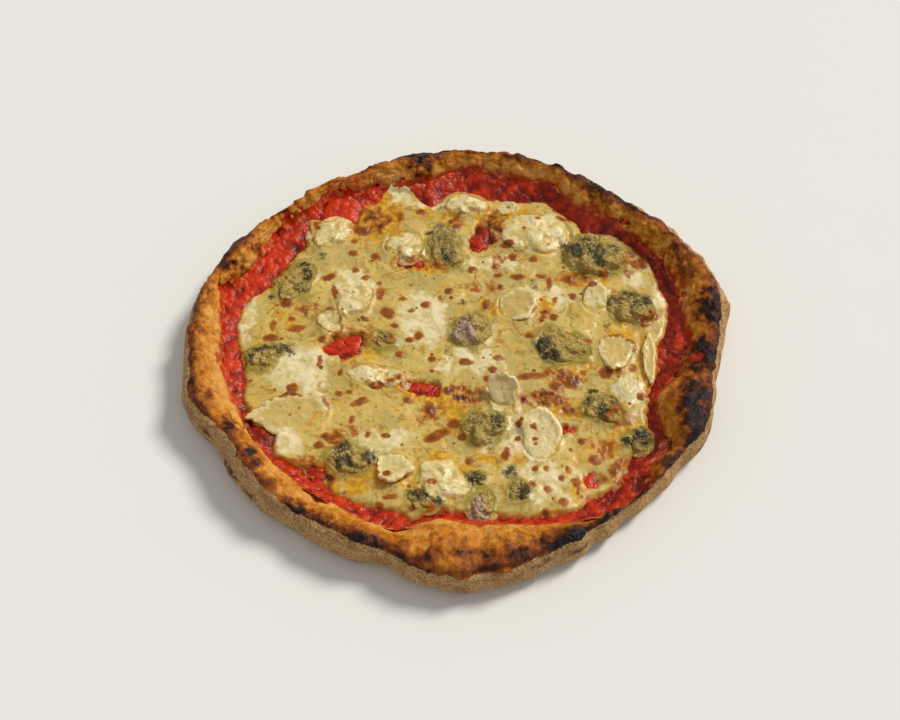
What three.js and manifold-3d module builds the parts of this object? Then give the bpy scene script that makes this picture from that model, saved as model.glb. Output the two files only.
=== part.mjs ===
// A four cheese pizza, whole and uncut. A flat base swells into a blistered rim, and inside the rim lie
// tomato sauce, a sheet of melted cheese, crumbled blue cheese and slices and curds of soft cheese.
// Millimetres, +Z up, origin at the middle of the flat underside, +Y towards the far side of the rim.
// Angles are in degrees, counted from +X towards +Y.
import * as THREE from 'three';
import { mergeVertices } from 'three/addons/utils/BufferGeometryUtils.js';
import Module from 'manifold-3d';

const manifold = await Module();
manifold.setup();

// ---- driving dimensions ----

const CLEARANCE = 0.3;
const SLOPE_CLEARANCE = 0.4;
const TURN_STEPS = 132;

// Plan of the rim: a mean radius and the places where the hand-stretched dough is wider or narrower.
const OUTER_RADIUS = 142.5;
const OUTER_BULGES = [
  { at: 16, span: 9, by: 2.5 },
  { at: 20, span: 24, by: 9 },
  { at: 82, span: 14, by: 2 },
  { at: 106, span: 6, by: 2.3 },
  { at: 125, span: 26, by: -5 },
  { at: 138, span: 9, by: -2.5 },
  { at: 178, span: 32, by: 7.5 },
  { at: 197, span: 6, by: 3 },
  { at: 210, span: 5, by: -2.5 },
  { at: 231, span: 8, by: 3 },
  { at: 240, span: 26, by: -5.5 },
  { at: 253, span: 8, by: -2.5 },
  { at: 272, span: 8, by: 2.5 },
  { at: 291, span: 12, by: -2.3 },
  { at: 312, span: 20, by: -8.5 },
  { at: 354, span: 9, by: -3 },
];
const INNER_RADIUS = 124.5;
const INNER_BULGES = [
  { at: 27, span: 18, by: 7 },
  { at: 57, span: 4, by: -3 },
  { at: 66, span: 4, by: 3.5 },
  { at: 78, span: 22, by: 4.5 },
  { at: 91, span: 5, by: 4 },
  { at: 105, span: 12, by: -5.5 },
  { at: 114, span: 5, by: 4.5 },
  { at: 127, span: 5, by: 4.5 },
  { at: 140, span: 20, by: 5.5 },
  { at: 147, span: 10, by: 2 },
  { at: 166, span: 4, by: 4.5 },
  { at: 172, span: 12, by: 8.5 },
  { at: 191, span: 6, by: 2 },
  { at: 235, span: 30, by: -5.5 },
  { at: 237, span: 13, by: -4 },
  { at: 264, span: 6, by: -3.5 },
  { at: 273, span: 18, by: -17 },
  { at: 293, span: 13, by: -5.5 },
  { at: 318, span: 18, by: 5 },
  { at: 325, span: 4, by: -5 },
  { at: 344, span: 7, by: -3 },
  { at: 345, span: 14, by: -12 },
  { at: 358, span: 8, by: 3 },
];

// Height of the rim's crest, and of the line where the dough goes under the sauce.
const CREST_HEIGHT = 20.5;
const CREST_BULGES = [
  { at: 30, span: 40, by: 2.5 },
  { at: 90, span: 30, by: 1 },
  { at: 180, span: 40, by: 1.5 },
  { at: 225, span: 16, by: 1 },
  { at: 340, span: 16, by: 2.5 },
];
const SAUCE_LINE_HEIGHT = 9;
const SAUCE_LINE_BULGES = [{ at: 80, span: 50, by: 3.5 }];

// Section of the rim. The outside runs from the foot up to the crest: insets are measured inwards from the
// outer edge, and heights are shares of the crest's. The inside runs down from the crest to the sauce line.
const RIM_OUTSIDE = [
  { inset: 7, height: 0 },
  { inset: 1.8, height: 0.13 },
  { inset: 0, height: 0.38 },
  { inset: 1, height: 0.64 },
  { inset: 4, height: 0.87 },
];
const CREST_INSET = 8.5;
const CREST_WIDTH_SHARE = 0.45;
const RIM_INSIDE = [
  { across: 0.4, down: 0.16 },
  { across: 0.75, down: 0.55 },
];
const RIM_HEART = { across: 0.5, height: 0.4 };
const RIM_STEPS = 15;
const RIM_UNEVENNESS = 0.6;
const TOE_RUN = 4;

// Blisters and knobs that swell out of the rim: place, spread and rise.
const BLISTERS = [
  { x: 119, y: -36, spread: 13, rise: 2.6 },
  { x: 119, y: -54, spread: 11, rise: 2.2 },
  { x: 131, y: -8, spread: 9, rise: 1.4 },
  { x: 136, y: 24, spread: 10, rise: 1.6 },
  { x: 147, y: 28, spread: 5, rise: 3 },
  { x: 124, y: 58, spread: 10, rise: 1.5 },
  { x: 106, y: 77, spread: 10, rise: 1.4 },
  { x: 59, y: 126, spread: 8, rise: 1.6 },
  { x: -22, y: 128, spread: 9, rise: 1.6 },
  { x: -84, y: 100, spread: 11, rise: 1.2 },
  { x: -121, y: 53, spread: 13, rise: 2 },
  { x: -138, y: 12, spread: 12, rise: 1.5 },
  { x: -133, y: -36, spread: 10, rise: 1.5 },
  { x: -104, y: -80, spread: 11, rise: 1.8 },
  { x: -52, y: -121, spread: 12, rise: 1.4 },
  { x: -3, y: -117, spread: 12, rise: 4 },
  { x: 24, y: -121, spread: 10, rise: 2.2 },
  { x: 62, y: -119, spread: 9, rise: 1.8 },
  { x: 79, y: -109, spread: 7, rise: 1.6 },
  { x: 96, y: -97, spread: 7, rise: 1.4 },
];
// Creases where two folds of the rim meet.
const CREASES = [
  { at: 46, span: 3, depth: 1.4 },
  { at: 128, span: 3, depth: 1.2 },
  { at: 234, span: 3.5, depth: 2.6 },
  { at: 256, span: 3, depth: 1.6 },
  { at: 276, span: 2.5, depth: 1.5 },
  { at: 301, span: 2.5, depth: 1.6 },
  { at: 309, span: 2.5, depth: 1.6 },
  { at: 329, span: 3, depth: 1.8 },
  { at: 352, span: 3, depth: 1.6 },
];

// Levels of the layers inside the rim.
const BASE_THICKNESS = 4.2;
const SAUCE_TOP = 6;
const CHEESE_BOTTOM = SAUCE_TOP + CLEARANCE;
const CHEESE_TOP = 8.9;
const CHEESE_EDGE_TOP = 7.2;
const CHEESE_SWELL = 0.45;
const CHEESE_RINGS = 5;
const CHEESE_EDGE_SHARE = 0.08;
const TOPPING_BOTTOM = 7.3;

// Outline of the melted cheese.
const CHEESE_RADIUS = 115;
const CHEESE_BULGES = [
  { at: 3, span: 5, by: -4.5 },
  { at: 26, span: 20, by: 11 },
  { at: 38, span: 10, by: 3.5 },
  { at: 50, span: 2.5, by: -7 },
  { at: 62, span: 10, by: 2 },
  { at: 65, span: 4, by: 6 },
  { at: 89, span: 7, by: 5.5 },
  { at: 95, span: 30, by: -4.5 },
  { at: 100, span: 3, by: -5 },
  { at: 109, span: 4, by: 7 },
  { at: 118, span: 4, by: 5 },
  { at: 122, span: 10, by: 4 },
  { at: 126, span: 4, by: -7 },
  { at: 135, span: 3, by: 10 },
  { at: 160, span: 4, by: -3 },
  { at: 172, span: 12, by: 8.5 },
  { at: 178, span: 5, by: 2.5 },
  { at: 200, span: 12, by: 5 },
  { at: 210, span: 2.5, by: -6 },
  { at: 217, span: 4, by: 4.5 },
  { at: 265, span: 40, by: -8.5 },
  { at: 303, span: 6, by: 2.5 },
  { at: 315, span: 7, by: 6 },
  { at: 331, span: 4, by: 6 },
  { at: 345, span: 22, by: -7 },
];
const CHEESE_LOBE = 1.6;
const CHEESE_TO_RIM = 3.5;

// The sauce between the cheese and the rim, from the cheese's edge (0) to the rim (1), and its lumps.
const SAUCE_CLIMB = [0.72, 0.45, 0.2];
const SAUCE_LUMP = 0.35;

// Openings in the melted cheese where the sauce shows, and how uneven their edges are.
const SAUCE_WINDOWS = [
  { x: -30, y: 60, length: 16, width: 9, turn: 0 },
  { x: 12, y: 80, length: 21, width: 14, turn: 70 },
  { x: -63, y: -1, length: 21, width: 15, turn: 20 },
  { x: -19, y: -27, length: 20, width: 9, turn: -10 },
  { x: 58, y: -50, length: 10, width: 6, turn: 0 },
  { x: 70, y: -80, length: 10, width: 8, turn: 90 },
  { x: -71, y: -80, length: 12, width: 8, turn: -30 },
];
const WINDOW_CORNERS = 11;
const WINDOW_TEAR = 0.2;

// Crumbles of blue cheese: place, size, turn and the height of the top.
const BLUE_CHEESE = [
  { x: -93, y: 42, length: 31, width: 19, turn: 62, top: 13 },
  { x: -106, y: -10, length: 19, width: 15, turn: 20, top: 12.5 },
  { x: -9, y: 71, length: 34, width: 20, turn: 100, top: 13.5 },
  { x: 77, y: 67, length: 38, width: 28, turn: -15, top: 16 },
  { x: 96, y: 30, length: 27, width: 20, turn: -20, top: 14.5 },
  { x: 57, y: 3, length: 32, width: 22, turn: -15, top: 13.5 },
  { x: 14, y: -51, length: 24, width: 20, turn: 10, top: 14.5 },
  { x: 78, y: -37, length: 23, width: 18, turn: -25, top: 13 },
  { x: 95, y: -56, length: 14, width: 12, turn: 30, top: 12.5 },
  { x: -55, y: -72, length: 23, width: 18, turn: -20, top: 13.5 },
  { x: -17, y: -95, length: 15, width: 10, turn: -15, top: 12 },
  { x: 32, y: -88, length: 14, width: 11, turn: 80, top: 12 },
  { x: 11, y: -82, length: 10, width: 8, turn: 0, top: 11.5 },
  { x: 14, y: -96, length: 16, width: 13, turn: 60, top: 12 },
  { x: 7, y: 12, length: 24, width: 20, turn: 50, top: 15.5 },
  { x: -42, y: 4, length: 14, width: 12, turn: 0, top: 11.5 },
];

// Curds and half-melted lumps of soft cheese.
const CURDS = [
  { x: 43, y: 84, length: 46, width: 33, turn: 0, top: 13.5 },
  { x: 2, y: 104, length: 28, width: 17, turn: -5, top: 13 },
  { x: -76, y: 79, length: 26, width: 20, turn: 40, top: 13 },
  { x: -33, y: 72, length: 24, width: 22, turn: 0, top: 13 },
  { x: -60, y: 31, length: 26, width: 23, turn: 70, top: 12.5 },
  { x: -44, y: -21, length: 34, width: 17, turn: -10, top: 12 },
  { x: -6, y: -83, length: 30, width: 25, turn: -35, top: 13 },
];

// Slices of soft cheese that kept their shape. point narrows one end, rise is the height of the middle, lean
// lifts the end that the turn points to, and pitch lifts the far side.
const SLICES = [
  { x: -88, y: -46, length: 44, width: 25, turn: 8, point: 0.5, thick: 4, rise: 9.4, lean: -4, pitch: 10 },
  { x: 24, y: -30, length: 22, width: 16, turn: 100, point: 0.25, thick: 3.5, rise: 13, lean: 4, pitch: 38 },
  { x: 44, y: -55, length: 31, width: 21, turn: 95, point: 0.1, thick: 5, rise: 10.6, lean: 6, pitch: 4 },
  { x: 32, y: 30, length: 24, width: 21, turn: 35, point: 0.2, thick: 4, rise: 10, lean: 10, pitch: 0 },
  { x: 86, y: 0, length: 25, width: 20, turn: 80, point: 0.15, thick: 4, rise: 10, lean: 5, pitch: -8 },
  { x: 104, y: -4, length: 33, width: 7, turn: 88, point: 0.1, thick: 5, rise: 10, lean: 0, pitch: 0 },
  { x: 76, y: 36, length: 22, width: 14, turn: 75, point: 0.2, thick: 3.5, rise: 10, lean: 6, pitch: 8 },
  { x: 26, y: 101, length: 12, width: 10, turn: 20, point: 0.2, thick: 4, rise: 10, lean: 8, pitch: 0 },
  { x: -71, y: 14, length: 18, width: 13, turn: 110, point: 0.3, thick: 4, rise: 10, lean: 10, pitch: 0 },
  { x: -32, y: -77, length: 20, width: 18, turn: -40, point: 0.2, thick: 4, rise: 10.6, lean: 14, pitch: 0 },
  { x: 92, y: -21, length: 15, width: 10, turn: 80, point: 0.1, thick: 3, rise: 9.6, lean: 3, pitch: 0 },
];
const SLICE_CORNERS = 14;
const SLICE_TEAR = 0.1;

// Unevenness of the lumps, and how finely a large and a small one are made.
const BLUE_ROUGHNESS = 0.14;
const CURD_ROUGHNESS = 0.09;
const LARGE_LUMP = 20;
const LARGE_STEPS = { turnSteps: 12, domeRings: 4 };
const SMALL_STEPS = { turnSteps: 8, domeRings: 3 };

// Colour and roughness of each food.
const CRUST_FINISH = { color: 0xc1884a, roughness: 0.75, metalness: 0 };
const SAUCE_FINISH = { color: 0xa8200f, roughness: 0.35, metalness: 0 };
const MELTED_FINISH = { color: 0xdccb8f, roughness: 0.32, metalness: 0 };
const BLUE_FINISH = { color: 0x7c8462, roughness: 0.6, metalness: 0 };
const SOFT_FINISH = { color: 0xe3d49a, roughness: 0.4, metalness: 0 };

// ---- outlines ----

const radians = THREE.MathUtils.degToRad;
const { lerp } = THREE.MathUtils;

/** Signed difference between two angles, from -180 to 180. */
function angleApart(angle, at) {
  return THREE.MathUtils.euclideanModulo(angle - at + 180, 360) - 180;
}

/** A bell round a direction, 1 on it and falling to 1/e at its span. */
function bell(angle, at, span) {
  return Math.exp(-((angleApart(angle, at) / span) ** 2));
}

/** A value that changes round the pizza: the base value and its bulges at the angle. */
function around(base, bulges, angle) {
  return bulges.reduce((sum, bulge) => sum + bulge.by * bell(angle, bulge.at, bulge.span), base);
}

/** How an edge is torn: 1 on the whole, deeper and shallower by the depth as it turns, by its own seed. */
function tear(turn, seed, depth) {
  return 1 + depth * (0.6 * Math.sin(3 * turn + seed.x) + 0.4 * Math.sin(5 * turn + seed.y));
}

/** A gentle unevenness from -1 to 1 over the plan, a sum of crossing waves. */
function swell(x, y) {
  const long = Math.sin(0.083 * x + 0.041 * y + 1.3);
  const cross = Math.sin(-0.052 * x + 0.097 * y + 4.1);
  const short = Math.sin(0.17 * x - 0.13 * y + 2.2);
  return 0.4 * long + 0.35 * cross + 0.25 * short;
}

const outerRadius = (angle) => around(OUTER_RADIUS, OUTER_BULGES, angle);
const innerRadius = (angle) => around(INNER_RADIUS, INNER_BULGES, angle);
const crestHeight = (angle) => around(CREST_HEIGHT, CREST_BULGES, angle);
const sauceLineHeight = (angle) => around(SAUCE_LINE_HEIGHT, SAUCE_LINE_BULGES, angle);

/** Radius of the melted cheese's edge: its bulges and small lobes, always clear of the rim. */
function cheeseRadius(angle) {
  const turn = radians(angle);
  const lobes = 0.6 * Math.sin(11 * turn + 0.7) + 0.4 * Math.sin(19 * turn + 2.9);
  const reach = around(CHEESE_RADIUS, CHEESE_BULGES, angle) + CHEESE_LOBE * lobes;
  return Math.min(reach, innerRadius(angle) - CHEESE_TO_RIM);
}

// ---- solids ----

/** The closed solid inside a geometry, with shared corners merged and only positions kept. */
function solidOf(geometry) {
  const bare = new THREE.BufferGeometry();
  bare.setAttribute('position', geometry.getAttribute('position'));
  bare.setIndex(geometry.getIndex());
  const merged = mergeVertices(bare, 1e-4);
  const index = merged.getIndex().array;
  const triangles = [];
  for (let i = 0; i < index.length; i += 3) {
    const [a, b, c] = index.slice(i, i + 3);
    if (a !== b && b !== c && c !== a) {
      triangles.push(a, b, c);
    }
  }
  const vertProperties = Float32Array.from(merged.getAttribute('position').array);
  const triVerts = Uint32Array.from(triangles);
  return new manifold.Manifold(new manifold.Mesh({ numProp: 3, vertProperties, triVerts }));
}

/** A named mesh of a solid, with its own material. */
function meshOf(name, solid, finish) {
  const { vertProperties, triVerts } = solid.getMesh();
  const geometry = new THREE.BufferGeometry();
  geometry.setAttribute('position', new THREE.BufferAttribute(vertProperties, 3));
  geometry.setIndex(new THREE.BufferAttribute(triVerts, 1));
  geometry.computeVertexNormals();
  const mesh = new THREE.Mesh(geometry, new THREE.MeshStandardMaterial(finish));
  mesh.name = name;
  return mesh;
}

/** A lathed body whose section changes with the angle: sectionAt(angle) gives its points, axis to axis. */
function variedLathe(sectionAt, turnSteps) {
  const lathe = new THREE.LatheGeometry(sectionAt(0), turnSteps);
  const position = lathe.getAttribute('position');
  const pointCount = position.count / (turnSteps + 1);
  for (let step = 0; step <= turnSteps; step += 1) {
    const angle = (360 * (step % turnSteps)) / turnSteps;
    const section = sectionAt(angle);
    for (let i = 0; i < pointCount; i += 1) {
      const { x: radius, y: height } = section[i];
      const across = radius * Math.cos(radians(angle));
      const away = radius * Math.sin(radians(angle));
      position.setXYZ(step * pointCount + i, across, away, height);
    }
  }
  return lathe;
}

/** The solid of a body that was made round the origin, turned and moved to its place on the pizza. */
function placed(geometry, { x, y, turn }) {
  geometry.rotateZ(radians(turn));
  geometry.translate(x, y, 0);
  return solidOf(geometry);
}

// ---- crust ----

/** How far the rim swells out at a place: its blisters, its fine unevenness and its creases. */
function rimSwelling(x, y, angle) {
  const blisters = BLISTERS.reduce((sum, blister) => {
    const near = ((x - blister.x) ** 2 + (y - blister.y) ** 2) / blister.spread ** 2;
    return sum + blister.rise * Math.exp(-near);
  }, 0);
  const creases = CREASES.reduce((sum, { at, span, depth }) => sum + depth * bell(angle, at, span), 0);
  return blisters - creases + RIM_UNEVENNESS * swell(2.3 * x, 2.3 * y);
}

/** Section of the crust at an angle, from the middle of the underside to the middle of the base's top. */
function crustSection(angle) {
  const outer = outerRadius(angle);
  const inner = innerRadius(angle);
  const crest = crestHeight(angle);
  const line = sauceLineHeight(angle);
  const top = outer - Math.min(CREST_INSET, CREST_WIDTH_SHARE * (outer - inner));
  const rim = new THREE.SplineCurve([
    ...RIM_OUTSIDE.map(({ inset, height }) => new THREE.Vector2(outer - inset, height * crest)),
    new THREE.Vector2(top, crest),
    ...RIM_INSIDE.map(({ across, down }) => {
      return new THREE.Vector2(lerp(top, inner, across), lerp(crest, line, down));
    }),
    new THREE.Vector2(inner, line),
  ]).getPoints(RIM_STEPS);
  const heart = new THREE.Vector2(lerp(outer, inner, RIM_HEART.across), RIM_HEART.height * crest);
  const swollen = rim.map((point, i) => {
    const held = i < 2 || i > RIM_STEPS - 2;
    const away = point.clone().sub(heart).normalize();
    const x = point.x * Math.cos(radians(angle));
    const y = point.x * Math.sin(radians(angle));
    return held ? point : point.clone().addScaledVector(away, rimSwelling(x, y, angle));
  });
  return [
    new THREE.Vector2(0, 0),
    ...swollen,
    new THREE.Vector2(inner - TOE_RUN, BASE_THICKNESS),
    new THREE.Vector2(0, BASE_THICKNESS),
  ];
}

// ---- sauce and melted cheese ----

/** Section of the sauce: flat under the cheese, climbing the rim outside it. */
function sauceSection(angle) {
  const bottom = BASE_THICKNESS + CLEARANCE;
  const edge = innerRadius(angle) - SLOPE_CLEARANCE;
  const line = sauceLineHeight(angle);
  const shore = cheeseRadius(angle) + 2 * CLEARANCE;
  const climb = SAUCE_CLIMB.map((share) => {
    const lumps = SAUCE_LUMP * share * Math.sin(radians(9 * angle + 400 * share));
    return new THREE.Vector2(lerp(shore, edge, share), lerp(SAUCE_TOP, line, share ** 0.8) + lumps);
  });
  return [
    new THREE.Vector2(0, bottom),
    new THREE.Vector2(edge - TOE_RUN, bottom),
    new THREE.Vector2(edge, line - CLEARANCE),
    ...climb,
    new THREE.Vector2(shore, SAUCE_TOP),
    new THREE.Vector2(0, SAUCE_TOP),
  ];
}

/** Section of the melted cheese: flat below, gently swelling above, thin at its edge. */
function cheeseSection(angle) {
  const edge = cheeseRadius(angle);
  const top = [];
  for (let ring = 0; ring <= CHEESE_RINGS; ring += 1) {
    const share = 1 - (ring / CHEESE_RINGS) ** 1.35;
    const radius = edge * share;
    const rise = Math.min(1, (1 - share) / CHEESE_EDGE_SHARE) ** 0.5;
    const x = radius * Math.cos(radians(angle));
    const y = radius * Math.sin(radians(angle));
    const full = CHEESE_TOP + CHEESE_SWELL * swell(x, y);
    top.push(new THREE.Vector2(radius, lerp(CHEESE_EDGE_TOP, full, rise)));
  }
  return [new THREE.Vector2(0, CHEESE_BOTTOM), new THREE.Vector2(edge, CHEESE_BOTTOM), ...top];
}

/** A body of even depth whose outline goes through corners at even turns, cornerAt(turn) giving each. */
function cutOut(corners, depth, cornerAt) {
  const points = Array.from({ length: corners }, (_, i) => cornerAt((2 * Math.PI * i) / corners));
  return new THREE.ExtrudeGeometry(new THREE.Shape(points), { depth, bevelEnabled: false });
}

/** An uneven oval opening that goes through the melted cheese. */
function windowCutter(spec) {
  const cutter = cutOut(WINDOW_CORNERS, CHEESE_TOP, (turn) => {
    const reach = 0.5 * tear(turn, spec, WINDOW_TEAR);
    return new THREE.Vector2(spec.length * reach * Math.cos(turn), spec.width * reach * Math.sin(turn));
  });
  cutter.translate(0, 0, 0.5 * (SAUCE_TOP + CHEESE_BOTTOM));
  return placed(cutter, spec);
}

// ---- toppings ----

/** The space above the level that toppings are set down to, less a clearance. */
function aboveToppingBottom(spare) {
  const size = 4 * OUTER_RADIUS;
  const space = new THREE.BoxGeometry(size, size, size);
  space.translate(0, 0, 0.5 * size + TOPPING_BOTTOM - spare);
  return solidOf(space);
}

/** Radius of an uneven oval at an angle from its long axis. */
function ovalRadius(spec, roughness, angle) {
  const along = Math.cos(radians(angle)) / (0.5 * spec.length);
  const aside = Math.sin(radians(angle)) / (0.5 * spec.width);
  return tear(radians(angle), spec, roughness) / Math.hypot(along, aside);
}

/** A rough lump: an uneven oval with a straight foot in the cheese and a crumbled dome above it. */
function lump(spec, { roughness, turnSteps, domeRings }) {
  const waist = CHEESE_TOP - CLEARANCE;
  const section = (angle) => {
    const radius = ovalRadius(spec, roughness, angle);
    const points = [new THREE.Vector2(0, TOPPING_BOTTOM), new THREE.Vector2(radius, TOPPING_BOTTOM)];
    for (let ring = 0; ring <= domeRings; ring += 1) {
      const climb = 0.5 * Math.PI * (ring / domeRings);
      const crumb = roughness * Math.sin(radians(4 * angle) + 2.6 * ring + spec.y) * Math.sin(2 * climb);
      const height = lerp(waist, spec.top, Math.sin(climb) + 1.6 * crumb);
      points.push(new THREE.Vector2(radius * (Math.cos(climb) ** 0.8 + crumb), height));
    }
    points[points.length - 1].set(0, spec.top);
    return points;
  };
  return placed(variedLathe(section, turnSteps), spec);
}

/** The room that a lump takes in what lies round it: its oval grown by the clearance, from its foot up. */
function lumpRoom(spec, { roughness, turnSteps }) {
  const section = (angle) => {
    const radius = ovalRadius(spec, roughness, angle) + CLEARANCE;
    return [
      new THREE.Vector2(0, TOPPING_BOTTOM - CLEARANCE),
      new THREE.Vector2(radius, TOPPING_BOTTOM - CLEARANCE),
      new THREE.Vector2(radius, spec.top + CLEARANCE),
      new THREE.Vector2(0, spec.top + CLEARANCE),
    ];
  };
  return placed(variedLathe(section, turnSteps), spec);
}

/** A leaning slice: a torn oval of even thickness, narrower at one end, spare mm larger all round. */
function slice(spec, spare) {
  const { length, width, turn, point, thick, rise, lean, pitch } = spec;
  const body = cutOut(SLICE_CORNERS, thick + 2 * spare, (corner) => {
    const reach = 0.5 * tear(corner, spec, SLICE_TEAR);
    const narrow = 1 - point * Math.max(0, -Math.cos(corner));
    const along = (length * reach + spare) * Math.cos(corner);
    const aside = (width * reach * narrow + spare) * Math.sin(corner);
    return new THREE.Vector2(along, aside);
  });
  body.translate(0, 0, -0.5 * thick - spare);
  body.rotateY(radians(-lean));
  body.rotateZ(radians(turn));
  body.rotateX(radians(pitch));
  body.translate(0, 0, rise);
  return placed(body, { ...spec, turn: 0 }).intersect(aboveToppingBottom(spare));
}

/** Every topping: its name, its finish, its solid and the room that it takes. */
function listToppings() {
  const number = (i) => String(i + 1).padStart(2, '0');
  const lumps = (name, finish, roughness, specs) => specs.map((spec, i) => {
    const skin = { roughness, ...(spec.length > LARGE_LUMP ? LARGE_STEPS : SMALL_STEPS) };
    return { name: `${name}_${number(i)}`, finish, solid: lump(spec, skin), room: lumpRoom(spec, skin) };
  });
  const slices = SLICES.map((spec, i) => {
    const name = `soft_slice_${number(i)}`;
    return { name, finish: SOFT_FINISH, solid: slice(spec, 0), room: slice(spec, CLEARANCE) };
  });
  return [
    ...lumps('blue_cheese', BLUE_FINISH, BLUE_ROUGHNESS, BLUE_CHEESE),
    ...slices,
    ...lumps('soft_curd', SOFT_FINISH, CURD_ROUGHNESS, CURDS),
  ];
}

// ---- the whole pizza ----

const pizza = new THREE.Group();
const crust = solidOf(variedLathe(crustSection, TURN_STEPS));
let sauce = solidOf(variedLathe(sauceSection, TURN_STEPS));
let cheese = solidOf(variedLathe(cheeseSection, TURN_STEPS));
for (const window of SAUCE_WINDOWS) {
  cheese = cheese.subtract(windowCutter(window));
}

// Each topping is set into the cheese, and into the sauce where it overhangs, and gives way to those before.
let taken = null;
const toppings = [];
for (const { name, finish, solid, room } of listToppings()) {
  toppings.push(meshOf(name, taken ? solid.subtract(taken) : solid, finish));
  taken = taken ? taken.add(room) : room;
}
cheese = cheese.subtract(taken);
sauce = sauce.subtract(taken);

pizza.add(meshOf('crust', crust, CRUST_FINISH));
pizza.add(meshOf('tomato_sauce', sauce, SAUCE_FINISH));
pizza.add(meshOf('melted_cheese', cheese, MELTED_FINISH));
pizza.add(...toppings);

export default pizza;
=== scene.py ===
"""A four cheese pizza, whole and uncut, on a plain pale floor.

Each food is a closed surface worked out with numpy on a grid of turns and rows, in the place of its solid.
Lengths here are millimetres and angles are degrees from +X towards +Y, until a mesh is made in metres.
"""

import math

import bpy
import numpy as np
from bpy.props import FloatProperty, FloatVectorProperty, IntProperty, PointerProperty
from mathutils import Matrix, Vector


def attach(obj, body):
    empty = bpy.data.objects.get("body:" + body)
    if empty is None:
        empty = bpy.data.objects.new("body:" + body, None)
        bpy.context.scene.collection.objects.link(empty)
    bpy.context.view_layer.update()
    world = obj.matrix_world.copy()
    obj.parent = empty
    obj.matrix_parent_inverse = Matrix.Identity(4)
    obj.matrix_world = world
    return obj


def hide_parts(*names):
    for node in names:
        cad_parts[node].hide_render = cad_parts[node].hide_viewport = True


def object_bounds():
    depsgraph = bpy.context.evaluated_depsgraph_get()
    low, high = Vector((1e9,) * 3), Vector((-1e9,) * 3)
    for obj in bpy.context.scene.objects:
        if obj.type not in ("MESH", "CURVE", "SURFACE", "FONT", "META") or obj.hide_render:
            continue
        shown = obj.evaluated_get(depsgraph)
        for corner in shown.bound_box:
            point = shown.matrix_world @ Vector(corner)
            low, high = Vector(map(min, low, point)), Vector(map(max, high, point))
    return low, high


bl_info = {
    "name": "Four Cheese Pizza",
    "version": (1, 0, 0),
    "blender": (4, 5, 0),
    "location": "View3D > Sidebar > Pizza",
    "description": "Makes the crust, sauce, melted cheese and toppings of a four cheese pizza",
    "category": "Add Mesh",
}

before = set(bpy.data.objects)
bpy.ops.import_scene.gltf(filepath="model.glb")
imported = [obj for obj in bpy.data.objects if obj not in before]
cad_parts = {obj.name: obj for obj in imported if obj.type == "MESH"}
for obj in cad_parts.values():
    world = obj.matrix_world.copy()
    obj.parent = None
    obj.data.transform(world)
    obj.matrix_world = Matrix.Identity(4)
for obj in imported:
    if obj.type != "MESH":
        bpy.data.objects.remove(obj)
CAD_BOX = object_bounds()

MM = 0.001
FLAT = np.array((1, 1, 0))
BOX_CLEARANCE = 0.01

# ---- the same driving dimensions as the solids ----

OUTER_RADIUS = 142.5
# Bulges round the pizza are direction, span and amount.
OUTER_BULGES = [
    (16, 9, 2.5), (20, 24, 9), (82, 14, 2), (106, 6, 2.3), (125, 26, -5), (138, 9, -2.5), (178, 32, 7.5),
    (197, 6, 3), (210, 5, -2.5), (231, 8, 3), (240, 26, -5.5), (253, 8, -2.5), (272, 8, 2.5), (291, 12, -2.3),
    (312, 20, -8.5), (354, 9, -3),
]
INNER_RADIUS = 124.5
INNER_BULGES = [
    (27, 18, 7), (57, 4, -3), (66, 4, 3.5), (78, 22, 4.5), (91, 5, 4), (105, 12, -5.5), (114, 5, 4.5),
    (127, 5, 4.5), (140, 20, 5.5), (147, 10, 2), (166, 4, 4.5), (172, 12, 8.5), (191, 6, 2), (235, 30, -5.5),
    (237, 13, -4), (264, 6, -3.5), (273, 18, -17), (293, 13, -5.5), (318, 18, 5), (325, 4, -5), (344, 7, -3),
    (345, 14, -12), (358, 8, 3),
]
CREST_HEIGHT = 20.5
CREST_BULGES = [(30, 40, 2.5), (90, 30, 1), (180, 40, 1.5), (225, 16, 1), (340, 16, 2.5)]
SAUCE_LINE_HEIGHT = 9
SAUCE_LINE_BULGES = [(80, 50, 3.5)]
# The rim's section: corners outside as inset and share of the crest, and inside as shares of the way down.
RIM_OUTSIDE = [(7, 0), (1.8, 0.13), (0, 0.38), (1, 0.64), (4, 0.87)]
CREST_INSET = 8.5
CREST_WIDTH_SHARE = 0.45
RIM_INSIDE = [(0.4, 0.16), (0.75, 0.55)]
RIM_HEART = (0.5, 0.4)
RIM_UNEVENNESS = 0.6
TOE_RUN = 4
# Blisters are x, y, spread and rise. Creases are direction, span and depth.
BLISTERS = [
    (119, -36, 13, 2.6), (119, -54, 11, 2.2), (131, -8, 9, 1.4), (136, 24, 10, 1.6), (147, 28, 5, 3),
    (124, 58, 10, 1.5), (106, 77, 10, 1.4), (59, 126, 8, 1.6), (-22, 128, 9, 1.6), (-84, 100, 11, 1.2),
    (-121, 53, 13, 2), (-138, 12, 12, 1.5), (-133, -36, 10, 1.5), (-104, -80, 11, 1.8), (-52, -121, 12, 1.4),
    (-3, -117, 12, 4), (24, -121, 10, 2.2), (62, -119, 9, 1.8), (79, -109, 7, 1.6), (96, -97, 7, 1.4),
]
CREASES = [
    (46, 3, 1.4), (128, 3, 1.2), (234, 3.5, 2.6), (256, 3, 1.6), (276, 2.5, 1.5), (301, 2.5, 1.6),
    (309, 2.5, 1.6), (329, 3, 1.8), (352, 3, 1.6),
]
BASE_THICKNESS = 4.2
SAUCE_GAP = 0.3
SAUCE_TOP = 6
SAUCE_SHORE = 0.9
SAUCE_OVERRUN = 3.5
CHEESE_BOTTOM = 6.3
THINNEST = 0.05
CHEESE_TOP = 8.9
CHEESE_SWELL = 0.45
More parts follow.
